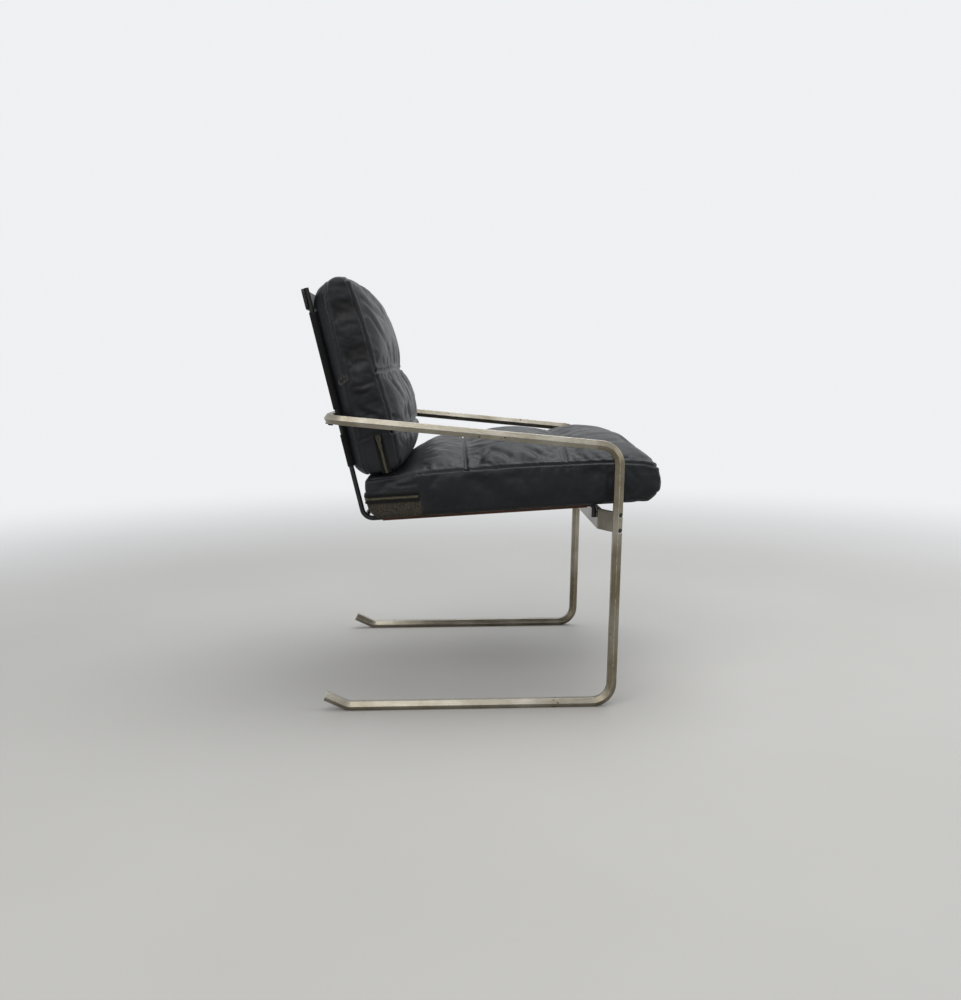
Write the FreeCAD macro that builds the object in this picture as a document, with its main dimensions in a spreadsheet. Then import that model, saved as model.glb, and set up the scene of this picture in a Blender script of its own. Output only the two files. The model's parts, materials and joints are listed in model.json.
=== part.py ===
import FreeCAD, Part
import math
import os
import Sketcher
from FreeCAD import Placement, Rotation, Vector

# Cantilever lounge chair, millimetres, +X forward, +Z up, floor at Z = 0.
# The right side of the chair is at -Y. One bent hexagonal bar makes the runners, legs, arms and
# rear crossbar, and a black steel rod frame with two slings hangs in it and holds two loose cushions.

os.makedirs("parts", exist_ok=True)
doc = FreeCAD.newDocument("lounge_chair")

# Driving sizes. Each has its own cell, and the note beside it says what it measures.
sheet = doc.addObject("Spreadsheet::Sheet", "Sizes")
DRIVING_SIZES = (
    ("BarFlats", 17.0, "hexagonal bar, across flats"),
    ("FrameWidth", 620.0, "outside width over the side ridges of the bar"),
    ("BendRadius", 36.0, "centreline radius of the main bends of the bar"),
    ("TailBendRadius", 25.0, "centreline radius of the bend before the tail"),
    ("TailLength", 46.0, "turned-up tail, bend corner to end"),
    ("TailAngle", 25.4, "rise of the tail, degrees"),
    ("TailCorner", 35.0, "tail bend corner in front of the crossbar ridge"),
    ("RunnerLength", 486.0, "tail bend corner to front bend corner"),
    ("LegLean", 1.6, "forward lean of the front leg, degrees"),
    ("ArmRear", 537.3, "arm centreline height above the crossbar ridge"),
    ("ArmSlope", 5.92, "fall of the arm towards the front, degrees"),
    ("RailCentre", 344.0, "height of the front cross rail's middle"),
    ("RailHeight", 37.0, "front cross rail, height of the flat bar"),
    ("RailThickness", 8.0, "front cross rail, thickness of the flat bar"),
    ("RailLug", 43.65, "slanted end of the cross rail, leg facet to bend"),
    ("RailBendRadius", 14.0, "outer radius of the cross rail's bends"),
    ("RailScrewPitch", 28.0, "distance between the two screws of one leg"),
    ("RailScrew", 5.0, "diameter of the leg screws"),
    ("RailScrewHead", 8.5, "head diameter of the leg screws"),
    ("RailScrewHeadDepth", 5.0, "head height of the leg screws"),
    ("RailScrewRecess", 1.5, "depth of the screw heads below the facet"),
    ("RailScrewReach", 16.0, "thread of the leg screws inside the cross rail"),
    ("RodDiameter", 9.0, "black side rods"),
    ("RodInset", 15.0, "side rods inside the bends of the cross rail"),
    ("Recline", 12.8, "lean of the back rods, degrees from upright"),
    ("RodTop", 240.0, "back rod above the crossbar, along the rod"),
    ("RodLower", 193.0, "back rod below the crossbar to the corner, along the rod"),
    ("SeatSlope", 3.04, "rise of the seat rods towards the front, degrees"),
    ("RodBendRadius", 20.5, "centreline radius of the rod's rear corner"),
    ("RodEndRadius", 9.0, "centreline radius of the rod's turned-down end"),
    ("RodEndDrop", 25.0, "turned-down end below the seat rod's axis"),
    ("RodScrew", 4.0, "screws that hold the rod ends to the cross rail"),
    ("RodScrewHeight", 9.0, "those screws above the rod's end"),
    ("RodScrewReach", 7.0, "thread of those screws inside the rod"),
    ("RodScrewHead", 7.5, "head diameter of the rod end screws"),
    ("RodScrewHeadHeight", 2.4, "head height of the rod end screws"),
    ("HeadRailHeight", 38.0, "flat strip across the top of the back rods"),
    ("HeadRailThickness", 4.0, "thickness of that strip"),
    ("HeadRailOverhang", 8.0, "strip beyond the centre of each rod"),
    ("HeadRailCorner", 7.0, "corner radius of the strip"),
    ("LugThickness", 3.0, "tab under the crossbar"),
    ("LugWidth", 20.0, "width of that tab"),
    ("LugRear", 8.0, "tab behind the crossbar's centre"),
    ("LugScrew", 5.0, "screws that hold the tabs to the crossbar"),
    ("LugScrewHead", 9.0, "head diameter of the tab screws"),
    ("LugScrewHeadHeight", 2.6, "head height of the tab screws"),
    ("LugScrewReach", 11.0, "thread of the tab screws inside the crossbar"),
    ("SlingThickness", 1.5, "canvas of the two slings"),
    ("SeatSlingSag", 5.0, "sag of the seat sling between the rods"),
    ("BackSlingSag", 3.0, "sag of the back sling between the rods"),
    ("HemEase", 0.5,"cushions above the crest of the hems, beyond the clearance"),
    ("SeatSlingStart", 34.0, "rear end of the seat sling, from the rod corner"),
    ("SeatSlingEnd", 416.0, "front end of the seat sling, from the rod corner"),
    ("BackSlingBottom", -92.0, "lower end of the back sling, along the rod"),
    ("BackSlingTop", 196.0, "upper end of the back sling, along the rod"),
    ("SlingNotchBottom", -32.0, "lower end of the hem's cut-out at the crossbar"),
    ("SlingNotchTop", 16.0, "upper end of the hem's cut-out at the crossbar"),
    ("CushionSideGap", 22.4, "cushions inside the side frames, each side"),
    ("CoverThickness", 2.0, "leather of the cushion covers"),
    ("CoreGap", 3.0,"ease of the foam cores inside the covers"),
    ("SeatLength", 556.0, "seat cushion, rear to nose, along the seat"),
    ("SeatSeamHeight", 76.0, "seat cushion, underside to side seam"),
    ("SeatCrown", 46.0, "rise of the seat cushion's top above the side seam"),
    ("BackHeight", 362.0, "back cushion, along the back"),
    ("BackBottom", -116.0, "foot of the back cushion, along the rod"),
    ("BackRearCrown", 23.0, "swell of the back cushion behind its rear seam"),
    ("BackBoxing", 58.0, "side panel of the back cushion between its seams"),
    ("BackFrontCrown", 32.0, "swell of the back cushion in front of its front seam"),
    ("BackHeelCrown", 12.0, "the same swell at the foot of the back cushion"),
    ("BackTopRound", 26.0, "start of the back's front below its top edge"),
    ("BackFootRound", 24.0, "round of the back cushion at its foot"),
    ("SeatSideDrop", 8.0, "seat cushion's underside below the rods' hems at its sides"),
    ("SeatRearRound", 19.0, "round of the seat cushion under its rear face"),
    ("SeatNoseRound", 46.0, "start of the seat's nose behind its front"),
    ("SeatNoseHeight", 18.0, "lowest point of the nose's face above the underside"),
    ("SeatNoseUnder", 30.0, "end of the flat underside behind the front"),
    ("SeatRearInset", 7.0, "seat cushion's rear face in front of the rod corner"),
    ("SeatDishEnd", 70.0, "front end of the dish under the back cushion"),
    ("SeatDishDepth", 5.5, "rear edge of that dish below the side seam"),
    ("SeatFirstSeam", 195.0, "first cross seam of the seat's top"),
    ("SeatSecondSeam", 381.0, "second cross seam of the seat's top"),
    ("BackFirstSeam", 66.0, "upper cross seam of the back's front"),
    ("BackSecondSeam", -46.0, "lower cross seam of the back's front"),
    ("ZipTapeWidth", 16.0, "zip tape"),
    ("ZipTapeThickness", 0.8, "thickness of the zip tape"),
    ("ZipChainWidth", 5.0, "closed teeth of the zips"),
    ("ZipChainHeight", 1.4, "teeth above the tape"),
    ("ZipCorner", 10.0,"radius of the zips where they turn a cushion's corner"),
    ("SeatZipHeight", 32.0, "seat zip above the cushion's underside"),
    ("SeatZipReach", 106.0, "front ends of the seat zip on the cushion's sides"),
    ("SeatZipParked", 195.0, "seat zip slider, right of the middle"),
    ("BackZipForward", 57.0, "back zip in front of the cushion's rear face"),
    ("BackZipTop", -46.0, "upper ends of the back zip on the cushion's sides"),
    ("SliderLength", 11.0, "zip slider along the zip"),
    ("SliderWidth", 8.6, "zip slider across the zip"),
    ("SliderHeight", 3.2, "zip slider above the tape"),
    ("PullLength", 18.0, "zip pull, pin to free end"),
    ("PullWidth", 6.0, "width of the zip pulls"),
    ("PullThickness", 1.6, "thickness of the zip pulls"),
    ("PinDiameter", 1.6, "pin of the zip pulls"),
    ("SeatGap", 0.3, "clearance between pieces that only touch"),
    ("ThreadGap", 0.05, "clearance round a screw in its hole"),
)
for row, (alias, value, note) in enumerate(DRIVING_SIZES, start=1):
    sheet.set("A%d" % row, note)
    sheet.set("B%d" % row, str(value))
    sheet.setAlias("B%d" % row, alias)
doc.recompute()


def size(alias):
    return float(sheet.get(alias))


def sine(degrees):
    return math.sin(math.radians(degrees))


def cosine(degrees):
    return math.cos(math.radians(degrees))


# Places worked out from the driving sizes, before the origin is moved to the middle.
BAR_HALF = size("BarFlats") / 2
BAR_RIDGE = size("BarFlats") / math.sqrt(3)
LOOP_Y = size("FrameWidth") / 2 - BAR_RIDGE
RUNNER_FRONT = size("TailCorner") + size("RunnerLength")
LEG_RUN = math.tan(math.radians(size("LegLean")))
ARM_FALL = math.tan(math.radians(size("ArmSlope")))
FRONT_TOP_Z = (size("ArmRear") - ARM_FALL * (RUNNER_FRONT - LEG_RUN * BAR_HALF)) / (1 + ARM_FALL * LEG_RUN)
FRONT_TOP_X = RUNNER_FRONT + LEG_RUN * (FRONT_TOP_Z - BAR_HALF)
CROSSBAR_X = BAR_RIDGE
CROSSBAR_Z = size("ArmRear") - ARM_FALL * CROSSBAR_X
ROD_HALF = size("RodDiameter") / 2
ROD_OFF = ROD_HALF + size("SeatGap")
ROD_X = CROSSBAR_X + BAR_RIDGE * cosine(size("ArmSlope")) + ROD_OFF * cosine(size("Recline"))
ROD_Z = CROSSBAR_Z - BAR_RIDGE * sine(size("ArmSlope")) + ROD_OFF * sine(size("Recline"))
CORNER_X = ROD_X + size("RodLower") * sine(size("Recline"))
CORNER_Z = ROD_Z - size("RodLower") * cosine(size("Recline"))
HEM_RADIUS = ROD_HALF + size("SeatGap") + size("SlingThickness")
CUSHION_SEAT = HEM_RADIUS + size("SeatGap")
LEG_X = RUNNER_FRONT + LEG_RUN * (size("RailCentre") - BAR_HALF)
RAIL_BEND_Y = LOOP_Y - (BAR_HALF + size("RailLug")) * cosine(30)
ROD_Y = RAIL_BEND_Y - size("RodInset")
CUSHION_HALF = LOOP_Y - BAR_RIDGE - size("CushionSideGap")

# The origin is under the middle of the whole chair, between the head rail and the seat's nose.
REAR_REACH = (ROD_X - size("RodTop") * sine(size("Recline"))
              - (ROD_OFF + size("HeadRailThickness")) * cosine(size("Recline")))
FRONT_REACH = (CORNER_X + size("SeatLength") * cosine(size("SeatSlope"))
               - (size("SeatSeamHeight") / 2 + CUSHION_SEAT) * sine(size("SeatSlope")))
ORIGIN_X = (REAR_REACH + FRONT_REACH) / 2


def at(x, y, z, turn=Rotation()):
    return Placement(Vector(x - ORIGIN_X, y, z), turn)


# Frames of reference: the arm's slope, the leg's lean, the back rods and the seat rods.
LEAN_TURN = Rotation(Vector(0, 1, 0), size("LegLean"))
ARM_TURN = Rotation(Vector(0, 1, 0), size("ArmSlope"))
ARM_FRAME = at(CROSSBAR_X, 0, CROSSBAR_Z, ARM_TURN)
LEG_FRAME = at(LEG_X, 0, size("RailCentre"), LEAN_TURN)
BACK_FRAME = at(ROD_X, 0, ROD_Z, Rotation(Vector(0, 1, 0), -size("Recline")))
SEAT_FRAME = at(CORNER_X, 0, CORNER_Z, Rotation(Vector(0, 1, 0), -size("SeatSlope")))

# A sketch in one of these planes has its x and y along the frame's axes named here.
PLANE_XY = Placement()
PLANE_XZ = Placement(Vector(), Rotation(Vector(1, 0, 0), Vector(0, 0, 1), Vector(0, -1, 0), "XYZ"))
PLANE_YZ = Placement(Vector(), Rotation(Vector(0, 1, 0), Vector(0, 0, 1), Vector(1, 0, 0), "XYZ"))


def shift(x=0.0, y=0.0, z=0.0):
    return Placement(Vector(x, y, z), Rotation())


def new_body(label):
    body = doc.addObject("PartDesign::Body", label)
    body.Label = label
    return body


def new_sketch(body, name, place):
    """A sketch on the body's own XY plane, offset to the given place."""
    plane = next(f for f in body.Origin.OriginFeatures if f.Role == "XY_Plane")
    sketch = body.newObject("Sketcher::SketchObject", name)
    sketch.AttachmentSupport = [(plane, "")]
    sketch.MapMode = "FlatFace"
    sketch.AttachmentOffset = place
    return sketch


def draw_chain(sketch, corners, radii, closed=False):
    """Straight runs between corners, each inner corner rounded by its radius (0 leaves it sharp)."""
    points = [Vector(x, y, 0) for x, y in corners]
    count = len(points)
    starts = list(points)
    ends = list(points)
    arcs = []
    for i in range(count):
        if not closed and i in (0, count - 1) or radii[i] == 0:
            continue
        here = points[i]
        back = (points[i - 1] - here).normalize()
        ahead = (points[(i + 1) % count] - here).normalize()
        half = back.getAngle(ahead) / 2
        reach = radii[i] / math.tan(half)
        middle = here + (back + ahead).normalize() * (radii[i] / math.sin(half) - radii[i])
        ends[i] = here + back * reach
        starts[i] = here + ahead * reach
        arcs.append((i, Part.Arc(ends[i], middle, starts[i])))
    rounded = dict(arcs)
    for i in range(count if closed else count - 1):
        j = (i + 1) % count
        sketch.addGeometry(Part.LineSegment(starts[i], ends[j]), False)
        if j in rounded:
            sketch.addGeometry(rounded[j], False)


def draw_circle(sketch, x, y, alias, name):
    """A circle whose diameter is bound to a cell of the sheet."""
    index = sketch.addGeometry(Part.Circle(Vector(x, y, 0), Vector(0, 0, 1), size(alias) / 2), False)
    row = sketch.addConstraint(Sketcher.Constraint("Diameter", index, size(alias)))
    sketch.renameConstraint(row, name)
    sketch.setExpression("Constraints." + name, "Sizes." + alias)


def draw_hexagon(sketch):
    """The bar's section, with its flats facing along the sketch's y and its ridges along x."""
    points = [Vector(BAR_RIDGE * cosine(60 * i), BAR_RIDGE * sine(60 * i), 0) for i in range(6)]
    for i in range(6):
        sketch.addGeometry(Part.LineSegment(points[i], points[(i + 1) % 6]), False)


def sweep(body, name, profile, spine):
    pipe = body.newObject("PartDesign::AdditivePipe", name)
    pipe.Profile = profile
    pipe.Spine = (spine, [])
    pipe.Mode = "Standard"
    doc.recompute()
    return pipe


def pad(body, name, sketch, alias, both=False, back=False):
    feature = body.newObject("PartDesign::Pad", name)
    feature.Profile = sketch
    feature.Length = size(alias)
    feature.setExpression("Length", "Sizes." + alias)
    feature.Midplane = both
    feature.Reversed = back
    return feature


def pocket(body, name, sketch, depth):
    feature = body.newObject("PartDesign::Pocket", name)
    feature.Profile = sketch
    feature.Length = depth
    return feature


def drilled(sketch, places, radius):
    for x, y in places:
        sketch.addGeometry(Part.Circle(Vector(x, y, 0), Vector(0, 0, 1), radius), False)


# Side frames: one hexagonal bar each, bent from the tail to the middle of the crossbar.
def screw_axis(side):
    """Placement of a leg screw pair: z out of the front outer facet, y up the leg."""
    out = Vector(0.5, side * cosine(30), 0)
    up = Vector(0, 0, 1)
    turn = Rotation(up.cross(out), up, out, "XYZ")
    return LEG_FRAME * Placement(Vector(0, side * LOOP_Y, 0) + out * BAR_HALF, turn)


def side_frame(label, side):
    body = new_body(label)
    tail = Vector(-cosine(size("TailAngle")), 0, sine(size("TailAngle"))) * size("TailLength")
    tail_end = Vector(size("TailCorner"), 0, BAR_HALF) + tail
    arm_start = (CROSSBAR_X + size("BendRadius") * cosine(size("ArmSlope")),
                 CROSSBAR_Z - size("BendRadius") * sine(size("ArmSlope")))
    loop = new_sketch(body, label + "_loop", at(0, side * LOOP_Y, 0) * PLANE_XZ)
    draw_chain(loop,
               [(tail_end.x, tail_end.z), (size("TailCorner"), BAR_HALF), (RUNNER_FRONT, BAR_HALF),
                (FRONT_TOP_X, FRONT_TOP_Z), arm_start],
               [0, size("TailBendRadius"), size("BendRadius"), size("BendRadius"), 0])
    # The section's ridges point sideways, so its x runs along the chair's width.
    facing = Rotation(Vector(0, 1, 0), Vector(sine(size("TailAngle")), 0, cosine(size("TailAngle"))),
                      Vector(cosine(size("TailAngle")), 0, -sine(size("TailAngle"))), "XYZ")
    section = new_sketch(body, label + "_section", at(tail_end.x, side * LOOP_Y, tail_end.z, facing))
    draw_hexagon(section)
    sweep(body, label + "_bar", section, loop)
    corner = new_sketch(body, label + "_corner", ARM_FRAME)
    draw_chain(corner, [(size("BendRadius"), side * LOOP_Y), (0, side * LOOP_Y), (0, 0)],
               [0, size("BendRadius"), 0])
    turned = new_sketch(body, label + "_turned", ARM_FRAME * PLANE_XZ)
    draw_hexagon(turned)
    sweep(body, label + "_crossbar", turned, corner)
    cut = new_sketch(body, label + "_counterbores", screw_axis(side))
    rows = [(0, size("RailScrewPitch") / 2), (0, -size("RailScrewPitch") / 2)]
    drilled(cut, rows, size("RailScrewHead") / 2 + size("SeatGap"))
    pocket(body, label + "_counterbore", cut, size("RailScrewHeadDepth") + size("RailScrewRecess"))
    through = new_sketch(body, label + "_clearances", screw_axis(side))
    drilled(through, rows, size("RailScrew") / 2 + size("SeatGap"))
    pocket(body, label + "_clearance", through, size("BarFlats") * 1.2)
    under = Placement(Vector(0, side * ROD_Y, -BAR_HALF), Rotation(Vector(1, 0, 0), 180))
    tapped = new_sketch(body, label + "_tappings", ARM_FRAME * under)
    drilled(tapped, [(0, 0)], size("LugScrew") / 2 + size("ThreadGap"))
    pocket(body, label + "_tapping", tapped, size("LugScrewReach") + 1)
    return body


# Front cross rail: one flat bar on edge, bent forward at both ends to meet the legs' inner facets.
RAIL_HALF = size("RailThickness") / 2
RAIL_X = -(BAR_HALF + size("RailLug")) * sine(30)
ROD_END_X = RAIL_X - RAIL_HALF - ROD_OFF


def rail_outline():
    """Corners and radii of the rail's plan in the leg's frame, front face first, right to left."""
    corners = []
    bevel = Vector(1 + cosine(30), sine(30), 0).normalize() * (RAIL_HALF / cosine(15))
    for face in (1, -1):
        for side in (-face, face):
            inward = Vector(-sine(30), -side * cosine(30), 0)
            end = Vector(0, side * LOOP_Y, 0) + inward * BAR_HALF
            across = Vector(cosine(30), -side * sine(30), 0) * RAIL_HALF * face
            bend = Vector(RAIL_X, side * RAIL_BEND_Y, 0)
            bend += Vector(bevel.x, -side * bevel.y, 0) * face
            pair = [(end + across, 0), (bend, 0)]
            pair[1] = (bend, size("RailBendRadius") - (size("RailThickness") if face > 0 else 0))
            corners += pair if side == -face else pair[::-1]
    return [(p.x, p.y) for p, _ in corners], [r for _, r in corners]


def front_cross_rail(label):
    body = new_body(label)
    plan = new_sketch(body, label + "_plan", LEG_FRAME)
    points, radii = rail_outline()
    draw_chain(plan, points, radii, closed=True)
    pad(body, label + "_bar", plan, "RailHeight", both=True)
    rows = [(0, size("RailScrewPitch") / 2), (0, -size("RailScrewPitch") / 2)]
    for side, word in ((-1, "right"), (1, "left")):
        lug = new_sketch(body, label + "_lug_" + word, screw_axis(side) * shift(z=-size("BarFlats")))
        drilled(lug, rows, size("RailScrew") / 2 + size("ThreadGap"))
        pocket(body, label + "_tapping_" + word, lug, size("RailScrewReach") + 1)
    front = new_sketch(body, label + "_rod_holes", LEG_FRAME * shift(x=RAIL_X + RAIL_HALF) * PLANE_YZ)
    drilled(front, [(side * ROD_Y, ROD_SCREW_Z) for side in (-1, 1)],
            size("RodScrew") / 2 + size("SeatGap"))
    pocket(body, label + "_rod_clearance", front, size("RailThickness") + 2)
    return body


# Side rods: round bar from the head rail down the back, round the rear corner and along the seat.
# The front end turns down behind the cross rail, where a screw from the front holds it.
SEAT_RISE = math.tan(math.radians(size("SeatSlope")))
ROD_END_Z = ((CORNER_Z + SEAT_RISE * (LEG_X + ROD_END_X * cosine(size("LegLean")) - CORNER_X)
              - size("RailCentre") + ROD_END_X * sine(size("LegLean")))
             / (cosine(size("LegLean")) - SEAT_RISE * sine(size("LegLean"))))
ROD_SCREW_Z = ROD_END_Z - size("RodEndDrop") + size("RodScrewHeight")


def leg_point(x, z):
    """A point of the leg's frame as the chair's x and z, before the origin is moved."""
    point = LEG_FRAME.multVec(Vector(x, 0, z))
    return (point.x + ORIGIN_X, point.z)


def side_rod(label, side):
    body = new_body(label)
    top = (ROD_X - size("RodTop") * sine(size("Recline")), ROD_Z + size("RodTop") * cosine(size("Recline")))
    path = new_sketch(body, label + "_path", at(0, side * ROD_Y, 0) * PLANE_XZ)
    draw_chain(path,
               [top, (CORNER_X, CORNER_Z), leg_point(ROD_END_X, ROD_END_Z),
                leg_point(ROD_END_X, ROD_END_Z - size("RodEndDrop"))],
               [0, size("RodBendRadius"), size("RodEndRadius"), 0])
    section = new_sketch(body, label + "_section",
                         BACK_FRAME * shift(0, side * ROD_Y, size("RodTop")))
    draw_circle(section, 0, 0, "RodDiameter", "Rod")
    sweep(body, label + "_rod", section, path)
    face = shift(x=ROD_END_X + ROD_HALF + 1, y=side * ROD_Y, z=ROD_SCREW_Z)
    tapped = new_sketch(body, label + "_tappings", LEG_FRAME * face * PLANE_YZ)
    drilled(tapped, [(0, 0)], size("RodScrew") / 2 + size("ThreadGap"))
    pocket(body, label + "_tapping", tapped, size("RodScrewReach") + 2)
    return body


# Head rail: a flat strip behind the tops of the back rods, with rounded corners.
def head_rail(label):
    body = new_body(label)
    face = new_sketch(body, label + "_face", BACK_FRAME * shift(x=-ROD_OFF) * PLANE_YZ)
    reach = ROD_Y + size("HeadRailOverhang")
    low = size("RodTop") - size("HeadRailHeight")
    draw_chain(face, [(-reach, low), (reach, low), (reach, size("RodTop")), (-reach, size("RodTop"))],
               [size("HeadRailCorner")] * 4, closed=True)
    pad(body, label + "_strip", face, "HeadRailThickness", back=True)
    return body


# Lower rail: a round bar between the side rods at the middle of their rear corner.
def lower_rail(label):
    back_run = Vector(-sine(size("Recline")), 0, cosine(size("Recline")))
    seat_run = Vector(cosine(size("SeatSlope")), 0, sine(size("SeatSlope")))
    half = back_run.getAngle(seat_run) / 2
    inward = (back_run + seat_run).normalize() * (size("RodBendRadius") / math.sin(half)
                                                   - size("RodBendRadius"))
    rail = doc.addObject("Part::Cylinder", label)
    rail.setExpression("Radius", "Sizes.RodDiameter / 2")
    start = -(ROD_Y - ROD_HALF - size("SeatGap"))
    rail.Height = -2 * start
    rail.Placement = at(CORNER_X + inward.x, start, CORNER_Z + inward.z, Rotation(Vector(1, 0, 0), -90))
    rail.Label = label
    return rail


# Small turned and punched pieces are made of primitives in one frame of reference.
def box(name, corner, lengths, frame):
    solid = doc.addObject("Part::Box", name)
    solid.Length, solid.Width, solid.Height = lengths
    solid.Placement = frame * shift(*corner)
    return solid


def cylinder(name, base, axis, radius, height, frame):
    solid = doc.addObject("Part::Cylinder", name)
    solid.Radius = radius
    solid.Height = height
    solid.Placement = frame * Placement(Vector(*base), Rotation(Vector(0, 0, 1), Vector(*axis)))
    return solid


def fused(name, solids):
    whole = doc.addObject("Part::MultiFuse", name)
    whole.Shapes = solids
    return whole


def cut(name, base, tool):
    result = doc.addObject("Part::Cut", name)
    result.Base = base
    result.Tool = tool
    result.Refine = False
    result.Label = name
    return result


def group(name, solids):
    whole = doc.addObject("Part::Compound", name)
    whole.Links = solids
    whole.Label = name
    return whole


def screw(name, frame, shaft, head, head_height, length):
    """A socket screw along the frame's z: the head stands above z = 0 and the shaft reaches below it."""
    stem = cylinder(name + "_shaft", (0, 0, -length), (0, 0, 1), shaft / 2, length, frame)
    cap = cylinder(name + "_head", (0, 0, 0), (0, 0, 1), head / 2, head_height, frame)
    socket = doc.addObject("Part::Prism", name + "_socket")
    socket.Polygon = 6
    socket.Circumradius = head * 0.27
    socket.Height = head_height
    socket.Placement = frame * shift(z=head_height * 0.4)
    return cut(name, fused(name + "_body", [stem, cap]), socket)


def rail_screws(label):
    solids = []
    for side in (-1, 1):
        for row in (-1, 1):
            down = -(size("RailScrewRecess") + size("RailScrewHeadDepth"))
            seat = screw_axis(side) * shift(0, row * size("RailScrewPitch") / 2, down)
            length = size("BarFlats") + size("RailScrewReach") + down
            solids.append(screw("%s_%d" % (label, len(solids)), seat, size("RailScrew"),
                                size("RailScrewHead"), size("RailScrewHeadDepth"), length))
    return group(label, solids)


def rod_end_screws(label):
    solids = []
    for side in (-1, 1):
        face = shift(RAIL_X + RAIL_HALF, side * ROD_Y, ROD_SCREW_Z)
        length = size("RailThickness") + size("SeatGap") + size("RodScrewReach")
        solids.append(screw("%s_%d" % (label, len(solids)), LEG_FRAME * face * PLANE_YZ,
                            size("RodScrew"), size("RodScrewHead"), size("RodScrewHeadHeight"), length))
    return group(label, solids)


# Crossbar lugs: a plate welded to each rod reaches back under the crossbar and is screwed up into it.
def crossbar_lug(label, side):
    drop = BAR_HALF + size("LugThickness")
    rod_x = (ROD_X - CROSSBAR_X) * cosine(size("ArmSlope")) + drop * math.tan(
        math.radians(size("Recline") + size("ArmSlope")))
    plate = box(label + "_plate", (-size("LugRear"), side * ROD_Y - size("LugWidth") / 2, -drop),
                (size("LugRear") + rod_x, size("LugWidth"), size("LugThickness")), ARM_FRAME)
    bite = cylinder(label + "_bite", (0, side * ROD_Y, -size("RodLower") / 2), (0, 0, 1),
                    ROD_OFF, size("RodLower"), BACK_FRAME)
    hole = cylinder(label + "_hole", (0, side * ROD_Y, -drop - 1), (0, 0, 1),
                    size("LugScrew") / 2 + size("SeatGap"), size("LugThickness") + 2, ARM_FRAME)
    return cut(label, cut(label + "_notched", plate, bite), hole)


def lug_screws(label):
    solids = []
    for side in (-1, 1):
        under = Placement(Vector(0, side * ROD_Y, -BAR_HALF - size("LugThickness")),
                          Rotation(Vector(1, 0, 0), 180))
        solids.append(screw("%s_%d" % (label, len(solids)), ARM_FRAME * under, size("LugScrew"),
                            size("LugScrewHead"), size("LugScrewHeadHeight"),
                            size("LugThickness") + size("LugScrewReach")))
    return group(label, solids)


# Slings: canvas sheets with a sewn hem round each side rod.
def sling(label, frame, start, end, drop):
    """The frame's z runs along the rods and its y points towards the cushion."""
    body = new_body(label)
    base = frame * shift(z=start)
    reach = ROD_Y
    length = end - start
    for side, word in ((-1, "right"), (1, "left")):
        ring = new_sketch(body, label + "_hem_" + word, base)
        drilled(ring, [(side * reach, 0)], HEM_RADIUS)
        hem = body.newObject("PartDesign::Pad", label + "_" + word)
        hem.Profile = ring
        hem.Length = length
    sheet_sketch = new_sketch(body, label + "_section", base)
    top = size("SlingThickness") / 2
    under = -top
    corners = [Vector(-reach, top, 0), Vector(reach, top, 0), Vector(reach, under, 0), Vector(-reach, under, 0)]
    sag = Vector(0, -drop, 0)
    sheet_sketch.addGeometry(Part.Arc(corners[0], Vector(0, top, 0) + sag, corners[1]), False)
    sheet_sketch.addGeometry(Part.LineSegment(corners[1], corners[2]), False)
    sheet_sketch.addGeometry(Part.Arc(corners[2], Vector(0, under, 0) + sag, corners[3]), False)
    sheet_sketch.addGeometry(Part.LineSegment(corners[3], corners[0]), False)
    canvas = body.newObject("PartDesign::Pad", label + "_sheet")
    canvas.Profile = sheet_sketch
    canvas.Length = length
    doc.recompute()
    bore = new_sketch(body, label + "_bores", frame * shift(z=end))
    drilled(bore, [(-reach, 0), (reach, 0)], ROD_OFF)
    pocket(body, label + "_bore", bore, length)
    return body


def notch_hems(body, frame):
    """Cut the rear half of both hems away where the crossbar and its lugs pass."""
    window = new_sketch(body, body.Label + "_windows", frame * shift(z=size("SlingNotchTop")))
    wide = max(HEM_RADIUS, size("LugWidth") / 2) + size("SeatGap")
    for side in (-1, 1):
        middle = side * ROD_Y
        draw_chain(window, [(middle - wide, -wide), (middle + wide, -wide), (middle + wide, 1),
                            (middle - wide, 1)], [0] * 4, closed=True)
    pocket(body, body.Label + "_window", window, size("SlingNotchTop") - size("SlingNotchBottom"))
    return body


# Cushions: lofts across the width through closed outlines of lines and arcs.
# An outline is a ring of corners, each with the outward swell of the arc that follows it, 0 for a line.
def outline_wire(ring, place, inset):
    """The outline, clockwise in the place's x and z, drawn in by the inset on every side."""
    count = len(ring)
    points = [Vector(x, 0, z) for x, z, _ in ring]
    turns = []
    outward = []
    for i, (_, _, swell) in enumerate(ring):
        chord = points[(i + 1) % count] - points[i]
        turns.append(2 * math.atan(2 * swell / chord.Length))
        outward.append(Vector(-chord.z, 0, chord.x).normalize())
    corners = []
    for i in range(count):
        before = turned(outward[i - 1], turns[i - 1])
        after = turned(outward[i], -turns[i])
        corners.append(points[i] - (before + after) * (inset / (1 + before.dot(after))))
    edges = []
    for i, (_, _, swell) in enumerate(ring):
        start = corners[i]
        end = corners[(i + 1) % count]
        middle = (points[i] + points[(i + 1) % count]) / 2 + outward[i] * (swell - inset)
        if swell == 0:
            curve = Part.LineSegment(place.multVec(start), place.multVec(end))
        else:
            curve = Part.Arc(place.multVec(start), place.multVec(middle), place.multVec(end))
        edges.append(curve.toShape())
    return Part.Wire(edges)


def turned(vector, angle):
    """A vector of the x and z plane turned clockwise, from z towards x."""
    return Vector(vector.x * math.cos(angle) + vector.z * math.sin(angle), 0,
                  vector.z * math.cos(angle) - vector.x * math.sin(angle))


# Rounded ends of a cushion: share of its half width, and how far the outline pulls in there.
CUSHION_ENDS = ((1.0, 9.0), (0.992, 4.6), (0.981, 1.9), (0.966, 0.5), (0.95, 0.1))
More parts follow.
